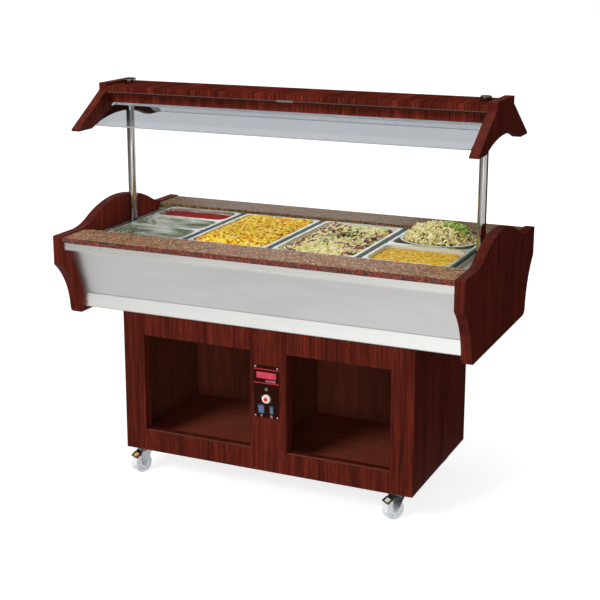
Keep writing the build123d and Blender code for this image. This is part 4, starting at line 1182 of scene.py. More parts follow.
@dataclass
class WellAndPans(SubAssembly):
    """Pressed deck, water tank with its element, divider bars and the seven pans."""

    deck_edge_mm: float = 0.9
    rim_mm: float = 1.5
    rim_slope: float = 0.3
    crease_degrees: float = 50.0
    third_pans: tuple[str, ...] = ("third_front", "third_middle", "third_rear")
    larger_pans: tuple[str, ...] = ("corn", "salad", "half_front", "half_rear")

    def on_rim(self, pan: str, face: MeshPolygon) -> bool:
        """Tell whether a face looks up from a pan's rim."""
        rim = Span.of(f"pan_{pan}").high.z - self.rim_mm * MM
        return face.center.z > rim and face.normal.z > self.rim_slope

    def build(self) -> None:
        """Build the well's steel."""
        place(eased("well_deck_sheet", "well_deck", self.deck_edge_mm), Finish.deck, "stainless_steel")
        place(eased("water_tank", "well_tank"), Finish.pan, "stainless_steel")
        place(eased("tank_heater", "heating_element"), Finish.zinc, "stainless_steel")
        place(eased("rim_bars", "divider_bars"), Finish.bar, "stainless_steel")
        for pan in self.third_pans + self.larger_pans:
            shell = eased(f"pan_shell_{pan}", f"pan_{pan}", angle=self.crease_degrees)
            steel = Finish.bright_pan if pan in self.third_pans else Finish.pan
            place(shell, steel, "stainless_steel", f"lift_pan_{pan}")
            # The faces that look up from each rim take a painted highlight.
            dress_part(shell, Finish.pan_rim, partial(self.on_rim, pan))


@dataclass(frozen=True)
class FoodBed:
    """Continuous surface of the food in one pan."""

    name: str
    node: str
    body: str
    slot: str
    crown: float
    bump: float
    bump_mm: float
    seed: float
    margin: float = 1.2 * MM
    shoulder: float = 0.42
    corner: float = 34 * MM
    skirt: float = 12 * MM
    skirt_share: tuple[float, float] = (0.985, 0.99)
    pitch: float = 4.0 * MM
    rise: float = 0.0
    clearance: float = 0.2 * MM
    swell_power: float = 2.2
    swell_share: float = 0.9
    edge_bump: float = 0.25
    fractal: tuple[float, float, int] = (0.8, 2.1, 3)
    tint_mm: float = 14.0
    crease_degrees: float = 60.0
    row_share: float = 0.87
    shake: float = 0.25

    def half(self, margin: float) -> Vector:
        """Half the food's width and length, less a margin."""
        return Span.of(self.node).size / 2 - Vector((margin, margin, 0))

    def level(self, x: float, y: float) -> float:
        """Height of the food at a point.

        Args:
            x: Place across the pan.
            y: Place along the pan.

        Returns:
            The height above the floor.
        """
        span, half = Span.of(self.node), self.half(self.margin)
        inside = -box_radius(x - span.centre.x, y - span.centre.y, half.x, half.y, self.corner)
        swell = 1 - (1 - min(max(inside / (self.shoulder * half.x), 0), 1)) ** self.swell_power
        fine = noise.fractal(Vector((x, y, self.seed)) / (self.bump_mm * MM), *self.fractal)
        lump = self.bump * fine * (self.edge_bump + (1 - self.edge_bump) * swell)
        top = span.high.z - self.crown + self.crown * self.swell_share * swell + lump
        return min(top, span.high.z - self.clearance) + self.rise

    def build(self, finish: Look) -> Object:
        """Build the bed from a grid laid over the pan's mouth.

        Args:
            finish: The food's finish.

        Returns:
            The bed.
        """
        middle, half = Span.of(self.node).centre, self.half(self.margin)
        deselect()
        bpy.ops.mesh.primitive_grid_add(
            x_subdivisions=round(2 * half.x / self.pitch), y_subdivisions=round(2 * half.y / self.pitch),
            size=2)
        bed = bpy.context.object
        bed.name = self.name
        for vertex in bed.data.vertices:
            x, y = vertex.co.x * half.x, vertex.co.y * half.y
            over = Vector((max(abs(x) - half.x + self.corner, 0), max(abs(y) - half.y + self.corner, 0)))
            if over.x > 0 and over.y > 0:
                share = max(over) / over.length
                x = math.copysign(half.x - self.corner + over.x * share, x)
                y = math.copysign(half.y - self.corner + over.y * share, y)
            x += middle.x
            y += middle.y
            vertex.co = (x, y, self.level(x, y))
        activate(bed)
        bpy.ops.object.mode_set(mode="EDIT")
        bpy.ops.mesh.select_all(action="SELECT")
        bpy.ops.mesh.extrude_region_move(TRANSFORM_OT_translate={"value": (0, 0, -self.skirt)})
        bpy.ops.transform.resize(value=(*self.skirt_share, 1), center_override=middle)
        bpy.ops.mesh.select_all(action="SELECT")
        bpy.ops.mesh.normals_make_consistent(inside=False)
        bpy.ops.object.mode_set(mode="OBJECT")
        bpy.ops.object.shade_smooth_by_angle(angle=math.radians(self.crease_degrees))
        tinted(bed, [0.5 + 0.5 * noise.noise(Vector(v.co) / (self.tint_mm * MM)) for v in bed.data.vertices])
        place(bed, finish, self.slot, self.body)
        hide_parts(self.node)
        return bed

    def spots(self, pitch: float, rng: random.Random, inset: float) -> list[tuple[float, float]]:
        """Staggered, shaken places over the bed.

        Args:
            pitch: Distance between neighbours.
            rng: Seeded random source.
            inset: Room left to the pan's wall.

        Returns:
            The places.
        """
        span, half = Span.of(self.node), self.half(inset)
        found = []
        rows = int(span.size.y / (pitch * self.row_share))
        columns = int(span.size.x / pitch)
        for row in range(rows + 1):
            for column in range(columns + 1):
                x = ((column + 0.5 * (row % 2) - columns / 2) * pitch
                     + rng.uniform(-self.shake, self.shake) * pitch)
                y = ((row - rows / 2) * pitch * self.row_share
                     + rng.uniform(-self.shake, self.shake) * pitch)
                if box_radius(x, y, half.x, half.y, self.corner) < 0:
                    found.append((x + span.centre.x, y + span.centre.y))
        return found


def any_turn(rng: random.Random, tilt: tuple[float, float]) -> tuple[float, float, float]:
    """Random turn: a tilt about X and one about Y within limits, and any angle about Z.

    Args:
        rng: Seeded random source.
        tilt: Largest tilt about X and about Y, in radians.

    Returns:
        The three angles.
    """
    return rng.uniform(-tilt[0], tilt[0]), rng.uniform(-tilt[1], tilt[1]), rng.uniform(0, math.tau)


@dataclass(frozen=True)
class LooseBits:
    """Number, sizes and tilt of one kind of loose bit on a dish.

    A bit's sides are metres for one modelled at unit size and 1 for one modelled at real size. Each copy
    takes them times a random size.
    """

    name: str
    count: int
    sizes: tuple[float, float]
    sides: tuple[float, float, float]
    sink_mm: float = 0.0
    lift_mm: tuple[float, float] = (-1.0, 2.2)
    tilt: tuple[float, float] = (0.6, 0.5)


@dataclass
class Foods(SubAssembly):
    """The dishes in the pans."""

    corn: FoodBed = FoodBed("corn_bed", "corn_fill", "lift_pan_corn", "corn",
                            crown=17 * MM, bump=2.4 * MM, bump_mm=34, seed=1.0)
    salad: FoodBed = FoodBed("pasta_salad_bed", "salad_fill", "lift_pan_salad", "pasta_salad",
                             crown=34 * MM, bump=4.0 * MM, bump_mm=30, seed=2.0, shoulder=0.5)
    gratin: FoodBed = FoodBed("gratin_bed", "gratin_fill", "lift_pan_half_front", "gratin",
                              crown=2.4 * MM, bump=1.6 * MM, bump_mm=17, seed=3.0, pitch=3 * MM)
    sauce: FoodBed = FoodBed("sauce_bed", "sauce_fill", "lift_pan_third_rear", "sauce",
                             crown=2 * MM, bump=0.6 * MM, bump_mm=30, seed=4.0, rise=11 * MM)
    corn_seed: int = 11
    salad_seed: int = 23
    noodle_seed: int = 37
    kernel_pitch_mm: float = 7.6
    kernel_inset_mm: float = 7.0
    kernel_mm: tuple[float, float, float] = (8.8, 7.2, 9.4)
    kernel_sizes: tuple[float, float] = (0.86, 1.12)
    kernel_lift_mm: tuple[float, float] = (-3.6, 0.8)
    kernel_tilt: tuple[float, float] = (1.2, 1.2)
    kernel_root: tuple[float, float] = (0.62, 0.7)
    root_below: float = -0.2
    tube_radius_mm: float = 3.4
    tube_bend_mm: float = 13.0
    tube_bend_degrees: float = 95.0
    tube_wall_mm: float = 1.1
    strip_bow: float = 1.4
    leaf_ruffle: tuple[float, float] = (0.28, 0.06)
    leaf_waves: tuple[float, float] = (5.0, 7.0)
    leaf_cup: float = 0.5
    leaf_wall: float = 0.08
    salad_pitch_mm: float = 4.0
    salad_inset_mm: float = 22.0
    tubes: LooseBits = LooseBits("pasta_tubes", 900, (0.62, 0.85), (1.0, 1.0, 1.0), 4.5)
    strips: LooseBits = LooseBits("cabbage_strips", 110, (0.7, 1.3), (28 * MM, 8 * MM, 3 * MM), 3.6)
    leaves: LooseBits = LooseBits("salad_leaves", 110, (0.7, 1.3), (24 * MM, 18 * MM, 9 * MM), 3.6)
    curls: LooseBits = LooseBits("noodle_curls", 900, (0.8, 1.15), (1.0, 1.0, 1.0), tilt=(1.3, 1.0))
    curl_sink_mm: tuple[float, float] = (1.0, 9.0)
    curl_foot_mm: float = 2.0
    sprigs: LooseBits = LooseBits("parsley_sprigs", 330, (7.0, 13.0), (1.0 * MM, 0.8 * MM, 0.6 * MM),
                                  tilt=(0.9, 0.9), lift_mm=(-2.0, 12.0))
    cabbage_least: float = 0.05
    cabbage_left: float = 0.75
    cabbage_right: float = 0.3
    cabbage_from: float = 0.45
    leaf_spot: tuple[float, float] = (0.05, 0.22)
    leaf_spread: tuple[float, float] = (0.5, 0.26)
    leaf_least: float = 0.04
    pasta_gap: float = 0.55
    heap_share: tuple[float, float] = (0.46, 0.43)
    heap_reach: float = 0.97
    heap_half: tuple[float, float] = (0.478, 0.45)
    heap_power: float = 2.5
    heap_lump: float = 0.16
    heap_lump_mm: float = 46.0
    heap_seed: float = 0.3
    heap_headroom_mm: float = 5.0
    heap_base_mm: float = 6.0
    curl_middle_mm: tuple[float, float] = (4.0, 9.0)
    core_share: tuple[float, float] = (0.45, 0.425)
    core_depth_mm: float = 9.0
    core_foot_mm: tuple[float, float] = (3.0, 4.0)
    core_tint: float = 0.1
    sprig_spot_mm: tuple[float, float] = (60.0, 6.0)
    sprig_spread_mm: tuple[float, float] = (48.0, 34.0)
    sprig_stray_mm: float = 7.0
    platter_rim_mm: float = 12.0
    platter_rings: tuple[tuple[float, float], ...] = (
        (0.62, -12.0), (0.88, -11.0), (0.905, 0.2), (0.985, 0.2), (0.998, 1.0), (0.985, 1.9), (0.9, 1.9),
        (0.865, -9.2), (0.62, -10.0))
    platter_sides: int = 96

    def kernel(self) -> Object:
        """Model one sweetcorn kernel: a tooth, broad and round at its crown, narrow at its root.

        Returns:
            The kernel, of unit size.
        """
        deselect()
        bpy.ops.mesh.primitive_cube_add(size=1)
        bit = bpy.context.object
        bpy.ops.object.mode_set(mode="EDIT")
        bpy.ops.mesh.select_all(action="SELECT")
        bpy.ops.mesh.subdivide(number_cuts=1, smoothness=1.0)
        bpy.ops.object.mode_set(mode="OBJECT")
        for vertex in bit.data.vertices:
            if vertex.co.z < self.root_below:
                vertex.co.x *= self.kernel_root[0]
                vertex.co.y *= self.kernel_root[1]
        return bit

    def corn_kernels(self) -> None:
        """Cover the corn with kernels."""
        rng = random.Random(self.corn_seed)
        places, tints = [], []
        for x, y in self.corn.spots(self.kernel_pitch_mm * MM, rng, self.kernel_inset_mm * MM):
            z = self.corn.level(x, y) + rng.uniform(*self.kernel_lift_mm) * MM
            turn = any_turn(rng, self.kernel_tilt)
            size = rng.uniform(*self.kernel_sizes)
            places.append(turned_matrix((x, y, z), turn, [side * MM * size for side in self.kernel_mm]))
            tints.append(rng.random())
        kernels = scattered("corn_kernels", self.kernel(), places, tints)
        place(kernels, Finish.corn, "corn", "lift_pan_corn")

    def tube(self) -> Object:
        """Model one bent pasta tube by spinning a ring.

        Returns:
            The tube, of real size.
        """
        deselect()
        bpy.ops.mesh.primitive_circle_add(vertices=8, radius=self.tube_radius_mm * MM, location=(0, 0, 0),
                                          rotation=(math.pi / 2, 0, 0))
        bit = bpy.context.object
        settle(bit)
        bpy.ops.object.mode_set(mode="EDIT")
        bpy.ops.mesh.select_all(action="SELECT")
        bpy.ops.mesh.spin(steps=4, angle=math.radians(self.tube_bend_degrees),
                          center=(self.tube_bend_mm * MM, 0, 0), axis=(0, 0, 1))
        bpy.ops.mesh.select_all(action="SELECT")
        bpy.ops.mesh.remove_doubles(threshold=1e-6)
        bpy.ops.mesh.normals_make_consistent(inside=False)
        bpy.ops.object.mode_set(mode="OBJECT")
        thicken(bit, self.tube_wall_mm * MM)
        return bit

    def strip(self) -> Object:
        """Model one strip of red cabbage: a curved sliver.

        Returns:
            The strip, of unit size.
        """
        deselect()
        bpy.ops.mesh.primitive_cube_add(size=1)
        bit = bpy.context.object
        bpy.ops.object.mode_set(mode="EDIT")
        bpy.ops.mesh.select_all(action="SELECT")
        bpy.ops.mesh.subdivide(number_cuts=2, smoothness=0.3)
        bpy.ops.object.mode_set(mode="OBJECT")
        for vertex in bit.data.vertices:
            vertex.co.z += self.strip_bow * vertex.co.x ** 2
        return bit

    def leaf(self) -> Object:
        """Model one torn leaf: a cupped and ruffled scrap with a thickness.

        Returns:
            The leaf, of unit size.
        """
        deselect()
        bpy.ops.mesh.primitive_circle_add(vertices=9, radius=0.5, fill_type="TRIFAN")
        bit = bpy.context.object
        across, upright = self.leaf_ruffle
        for i, vertex in enumerate(bit.data.vertices):
            vertex.co.x *= 1.0 + across * math.sin(self.leaf_waves[0] * i)
            vertex.co.z = (self.leaf_cup * (vertex.co.x ** 2 - vertex.co.y ** 2)
                           + upright * math.sin(self.leaf_waves[1] * i))
        thicken(bit, self.leaf_wall)
        return bit

    def near_sides(self, x: float, y: float) -> float:
        """Share of cabbage that lies at a place across the salad: most at the left and right edges."""
        most = self.cabbage_right if x > 0 else self.cabbage_left
        return self.cabbage_least + most * max(0.0, (abs(x) - self.cabbage_from) / (1 - self.cabbage_from))

    def in_middle(self, x: float, y: float) -> float:
        """Share of leaves at a place: a wreath on the rear half."""
        (at_x, at_y), (wide, deep) = self.leaf_spot, self.leaf_spread
        return math.exp(-((x - at_x) / wide) ** 2 - ((y - at_y) / deep) ** 2) + self.leaf_least

    def anywhere(self, x: float, y: float) -> float:
        """An even share of pasta, thinner where the leaves lie."""
        return 1.0 - self.pasta_gap * self.in_middle(x, y)

    def salad_bits(self) -> None:
        """Strew the pasta salad with its tubes, strips and leaves."""
        rng = random.Random(self.salad_seed)
        span = Span.of(self.salad.node)
        kinds = ((self.tubes, self.tube(), Finish.pasta, self.anywhere),
                 (self.strips, self.strip(), Finish.cabbage, self.near_sides),
                 (self.leaves, self.leaf(), Finish.leaf, self.in_middle))
        for kind, bit, finish, share in kinds:
            spots = self.salad.spots(self.salad_pitch_mm * MM, rng, self.salad_inset_mm * MM)
            rng.shuffle(spots)
            kept = [(x, y) for x, y in spots if rng.random() < share(
                2 * (x - span.centre.x) / span.size.x, 2 * (y - span.centre.y) / span.size.y)]
            places, tints = [], []
            top = span.high.z - kind.sink_mm * MM
            for x, y in kept[:kind.count]:
                z = min(self.salad.level(x, y) + rng.uniform(*kind.lift_mm) * MM, top)
                turn = any_turn(rng, kind.tilt)
                size = rng.uniform(*kind.sizes)
                places.append(turned_matrix((x, y, z), turn, [side * size for side in kind.sides]))
                tints.append(rng.random())
            place(scattered(kind.name, bit, places, tints), finish, "pasta_salad", "lift_pan_salad")

    def heap_height(self, x: float, y: float) -> float:
        """Height of the noodle heap at a place measured from the platter's middle.

        Args:
            x: Place across the pan.
            y: Place along the pan.

        Returns:
            The height above the floor.
        """
        span, base = Span.of("noodle_platter"), self.heap_base()
        highest = span.high.z - self.heap_headroom_mm * MM
        half_x, half_y = self.heap_half[0] * span.size.x, self.heap_half[1] * span.size.y
        out = min(math.hypot(x / half_x, y / half_y), 1.0)
        spot = Vector((x, y, self.heap_seed)) / (self.heap_lump_mm * MM)
        lump = 1 + self.heap_lump * noise.noise(spot)
        return min(base + (highest - base) * (1 - out ** self.heap_power) * lump, highest)

    def heap_base(self) -> float:
        """Height at which the noodles start."""
        return Span.of("noodle_platter").low.z + self.heap_base_mm * MM

    def noodles(self) -> None:
        """Heap the platter with short curled noodles, and dress its side with parsley."""
        rng = random.Random(self.noodle_seed)
        span, foot = Span.of("noodle_platter"), self.heap_base() + self.curl_foot_mm * MM
        back = Matrix.Translation((*(-reach * MM for reach in self.curl_middle_mm), 0))
        places, tints = [], []
        for _ in range(self.curls.count):
            reach, around = math.sqrt(rng.random()) * self.heap_reach, rng.uniform(0, math.tau)
            x = reach * self.heap_share[0] * span.size.x * math.cos(around)
            y = reach * self.heap_share[1] * span.size.y * math.sin(around)
            z = max(self.heap_height(x, y) - rng.uniform(*self.curl_sink_mm) * MM, foot)
            turn = any_turn(rng, self.curls.tilt)
            size = rng.uniform(*self.curls.sizes)
            curl = turned_matrix((x + span.centre.x, y + span.centre.y, z), turn,
                                 [side * size for side in self.curls.sides])
            places.append(curl @ back)
            tints.append(rng.random())
        curls = place(scattered(self.curls.name, self.tube(), places, tints), Finish.noodle, "noodles",
                      "lift_pan_half_rear")
        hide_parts("noodle_platter")
        self.heap_core()
        self.parsley(rng)
        self.platter()

    def heap_core(self) -> None:
        """Fill the heap's inside, so that no gap between noodles shows the platter. Its dark brown is painted
        shade.
        """
        deselect()
        bpy.ops.mesh.primitive_uv_sphere_add(segments=40, ring_count=20, radius=1)
        core = bpy.context.object
        core.name = "noodle_core"
        span, base = Span.of("noodle_platter"), self.heap_base()
        for vertex in core.data.vertices:
            x = vertex.co.x * self.core_share[0] * span.size.x
            y = vertex.co.y * self.core_share[1] * span.size.y
            top = max(self.heap_height(x, y) - self.core_depth_mm * MM, base - self.core_foot_mm[0] * MM)
            z = top if vertex.co.z > 0 else base - self.core_foot_mm[1] * MM
            vertex.co = (span.centre.x + x, span.centre.y + y, z)
        activate(core)
        bpy.ops.object.shade_smooth_by_angle(angle=math.radians(self.corn.crease_degrees))
        tinted(core, [self.core_tint] * len(core.data.vertices))
        place(core, Finish.noodle_shade, "noodles", "lift_pan_half_rear")

    def parsley(self, rng: random.Random) -> None:
        """Lay a bunch of parsley on the right of the heap.

        Args:
            rng: Seeded random source.
        """
        places, tints = [], []
        span = Span.of("noodle_platter")
        highest = span.high.z - self.heap_headroom_mm * MM
        for _ in range(self.sprigs.count):
            x, y = ((at + spread * rng.uniform(-1, 1) + rng.gauss(0, self.sprig_stray_mm)) * MM
                    for at, spread in zip(self.sprig_spot_mm, self.sprig_spread_mm))
            z = min(self.heap_height(x, y) + rng.uniform(*self.sprigs.lift_mm) * MM, highest)
            size = rng.uniform(*self.sprigs.sizes)
            turn = any_turn(rng, self.sprigs.tilt)
            places.append(turned_matrix((span.centre.x + x, span.centre.y + y, z), turn,
                                        [side * size for side in self.sprigs.sides]))
            tints.append(rng.random())
        sprigs = scattered(self.sprigs.name, self.leaf(), places, tints)
        place(sprigs, Finish.parsley, "noodles", "lift_pan_half_rear")

    def platter(self) -> None:
        """Turn the oval platter that hangs on the pan's rim."""
        span = Span.of("noodle_platter")
        dish = turned("oval_platter", (0, 0, 0), (0, 0, 1),
                      [(share, rise * MM) for share, rise in self.platter_rings], sides=self.platter_sides)
        at = (span.centre.x, span.centre.y, span.low.z + self.platter_rim_mm * MM)
        dish.matrix_world = Matrix.Translation(at) @ Matrix.Diagonal(
            (span.size.x / 2, span.size.y / 2, 1, 1))
        settle(dish)
        place(dish, Finish.pan, "noodles", "lift_pan_half_rear")

    def build(self) -> None:
        """Fill the pans."""
        self.corn.build(Finish.corn_bed)
        self.corn_kernels()
        self.salad.build(Finish.dressing)
        self.salad_bits()
        self.gratin.build(Finish.gratin)
        self.sauce.build(Finish.sauce)
        self.noodles()


@dataclass
class Canopy(SubAssembly):
    """Glazed wooden canopy on two posts, with a lamp under it."""

    board_edge_mm: float = 1.5
    bracket_edge_mm: float = 2.0
    fascia_edge_mm: float = 0.6
    tray_edge_mm: float = 0.3
    pane_edge_mm: float = 0.7
    ground_slope: float = 0.7
    plug_depth_mm: float = 3.0
    plug_slope: float = 0.5
    cap_length_mm: float = 14.0
    cap_gap_mm: float = 0.1
    cap_wall_mm: float = 0.6
    cap_ease_mm: tuple[float, float] = (0.8, 0.5)
    hem_mm: float = 2.6
    hem_proud_mm: float = 0.2
    hem_rise_mm: float = 0.8
    seal_mm: float = 6.8
    strip_depth_mm: float = 1.6
    strip_edge_mm: float = 0.15
    badge_mm: tuple[float, float, float] = (66.0, 0.8, 8.0)
    badge_rise_mm: float = 3.0
    badge_edge_mm: float = 0.2

    def build(self) -> None:
        """Build the canopy's pieces."""
        for side in ("left", "right"):
            bracket = eased(f"curved_bracket_{side}", f"canopy_bracket_{side}", self.bracket_edge_mm, 3)
            place(bracket, Finish.upright_veneer, "mahogany_veneer")
        board = eased("canopy_board", "canopy_top", self.board_edge_mm, 3)
        place(board, Finish.board_veneer, "mahogany_veneer")
        fascias = eased("grooved_fascias", "canopy_fascias", self.fascia_edge_mm)
        place(fascias, Finish.cross_veneer, "mahogany_veneer")
        tray = eased("lamp_tray", "canopy_tray", self.tray_edge_mm)
        # The tray's dark grey is painted shade under the board.
        place(tray, Finish.tray, "stainless_steel")
        dress_part(tray, Finish.lip_enamel,
                   lambda face: face.center.z < Span.of("glass_panes").high.z)
        self.panes()
        place(eased("chromed_posts", "posts"), Finish.chrome, "chromed_steel")
        trim = place(eased("post_trim", "post_fittings"), Finish.chrome, "chromed_steel")
        plug = Span.of("post_fittings").high.z - self.plug_depth_mm * MM
        dress_part(trim, Finish.cap_plug,
                   lambda face: face.center.z > plug and face.normal.z > self.plug_slope)
        place(eased("lamp_tube_glass", "lamp_tube"), Finish.lamp_glass, "lamp_glass")
        self.lamp_caps()
        self.tray_edges()
        self.badge()

    def panes(self) -> None:
        """Part the two panes and dress their edges: ground pale along the panes, with a painted reflection of
        the brackets on the ends.
        """
        activate(eased("sloping_pane_front", "glass_panes", self.pane_edge_mm))
        bpy.ops.object.mode_set(mode="EDIT")
        bpy.ops.mesh.separate(type="LOOSE")
        bpy.ops.object.mode_set(mode="OBJECT")
        for pane in list(bpy.context.selected_objects):
            rear = pane.bound_box[0][1] > 0
            pane.name = "sloping_pane_rear" if rear else "sloping_pane_front"
            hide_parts("glass_panes")
            place(pane, Finish.clear_glass if rear else Finish.glass, "clear_glass")
            dress_part(pane, Finish.ground_rim, lambda face: abs(face.normal.y) > self.ground_slope)
            # The end faces take a painted reflection of the brackets' wood.
            dress_part(pane, Finish.ground_end, lambda face: abs(face.normal.x) > self.ground_slope)

    def lamp_caps(self) -> None:
        """Sleeve the tube's ends with metal caps."""
        span = Span.of("lamp_tube")
        inner = span.size.z / 2 + self.cap_gap_mm * MM
        outer = span.size.z / 2 + self.cap_wall_mm * MM
        length = self.cap_length_mm * MM
        mouth, crown = (ease * MM for ease in self.cap_ease_mm)
        for name, side, end in (("left", -1, span.low.x), ("right", 1, span.high.x)):
            cap = turned(f"tube_cap_{name}", (end, 0, span.centre.z), (-side, 0, 0), [
                (inner, 0.0), (outer, mouth), (outer, length), (inner, length + crown), (inner, 0.0)])
            place(cap, Finish.zinc, "lamp_glass")

    def tray_edges(self) -> None:
        """Hem the tray's long edges under the board, and lay a dark strip of painted shadow below each hem.
        """
        tray = Span.of("canopy_tray")
        top = tray.high.z + self.hem_rise_mm * MM
        middle = top - self.hem_mm * MM
        strips = (("hem", middle, top, self.hem_proud_mm, Finish.hem),
                  ("seal", middle - self.seal_mm * MM, middle, 0.0, Finish.seal))
        for name, side in (("front", -1), ("rear", 1)):
            for piece, start, end, proud, finish in strips:
                near, far = sorted((side * (tray.high.y + proud * MM),
                                    side * (tray.high.y - self.strip_depth_mm * MM)))
                strip = block(f"tray_{piece}_{name}", (tray.low.x, near, start), (tray.high.x, far, end),
                              self.strip_edge_mm * MM)
                place(strip, finish, "stainless_steel")

    def badge(self) -> None:
        """Fix a bare plate at the middle of the tray's front edge."""
        tray = Span.of("canopy_tray")
        width, depth, height = (size * MM for size in self.badge_mm)
        top = tray.high.z + self.badge_rise_mm * MM
        plate = block("bare_plate", (-width / 2, tray.low.y - depth, top - height),
                      (width / 2, tray.low.y, top), self.badge_edge_mm * MM)
        place(plate, Finish.nickel, "stainless_steel")


@dataclass
class Casters(SubAssembly):
    """Four swivel casters, the front pair with foot brakes and painted patches on each pedal."""

    corners: tuple[str, ...] = ("front_left", "front_right", "rear_left", "rear_right")
    kingpin_mm: tuple[float, float] = (525.0, -270.0)
    heading: dict[str, float] = field(default_factory=lambda: {"front_left": -115.0, "front_right": -128.0})
    pedal_pin_mm: tuple[float, float] = (30.0, 82.0)
    pedal_slope: float = 33.0
    pedal_face_mm: float = 5.0
    paint_mm: float = 0.4
    paint_edge_mm: float = 0.1
    patches_mm: tuple[tuple[str, float, float, float, float], ...] = (
        ("patch", 12.0, 28.0, -9.0, 9.0), ("stripe", 12.0, 28.0, 10.5, 16.0))

    def pedal_frame(self, corner: str) -> Matrix:
        """Place of a pedal: its origin on the pin, X down the toe plate, Z out of the plate.

        Args:
            corner: The caster's corner.

        Returns:
            The place as a matrix.
        """
        side = -1 if corner.endswith("left") else 1
        reach, pin_z = self.pedal_pin_mm
        turn = Matrix.Rotation(math.radians(self.heading[corner]), 4, "Z")
        return (Matrix.Translation((side * self.kingpin_mm[0] * MM, self.kingpin_mm[1] * MM, 0)) @ turn
                @ Matrix.Translation((reach * MM, 0, pin_z * MM))
                @ Matrix.Rotation(math.radians(self.pedal_slope), 4, "Y"))

    def patches(self, corner: str) -> None:
        """Paint two plain patches on a brake pedal.

        Args:
            corner: The caster's corner.
        """
        paints = {"front_left": (Finish.yellow_paint, Finish.red_print),
                  "front_right": (Finish.white_plastic, Finish.yellow_paint)}
        for (name, start, end, low, high), paint in zip(self.patches_mm, paints[corner]):
            patch = block(f"pedal_{name}_{corner}", (start * MM, low * MM, self.pedal_face_mm * MM),
                          (end * MM, high * MM, (self.pedal_face_mm + self.paint_mm) * MM),
                          self.paint_edge_mm * MM)
            patch.matrix_world = self.pedal_frame(corner)
            settle(patch)
            place(patch, paint, "pedal_steel", f"pedal_{corner}")

    def build(self) -> None:
        """Build the casters."""
        place(eased("caster_top_plates", "caster_plates"), Finish.zinc, "zinc_plate")
        for corner in self.corners:
            fork = eased(f"fork_{corner}_pressing", f"caster_fork_{corner}")
            place(fork, Finish.zinc, "zinc_plate", f"fork_{corner}")
            wheel = eased(f"wheel_{corner}_tread", f"caster_wheel_{corner}")
            place(wheel, Finish.nylon, "wheel_nylon", f"wheel_{corner}")
        for corner in self.heading:
            pedal = eased(f"brake_tread_{corner}", f"brake_pedal_{corner}")
            place(pedal, Finish.dark_paint, "pedal_steel", f"pedal_{corner}")
            self.patches(corner)


@dataclass(frozen=True)
class SoftLamp:
    """A rectangular lamp: its place, the point that it faces, its size in metres and its power in watts."""

    name: str
    at: tuple[float, float, float]
    aim: tuple[float, float, float]
    size: tuple[float, float]
    power: float
    glossy: bool = False


@dataclass(frozen=True)
class Card:
    """A card that shows in reflections alone: its corners, its turn about the upright axis and its glow."""

    name: str
    low: tuple[float, float, float]
    high: tuple[float, float, float]
    turn: float = 0.0
    glow: float = 0.012


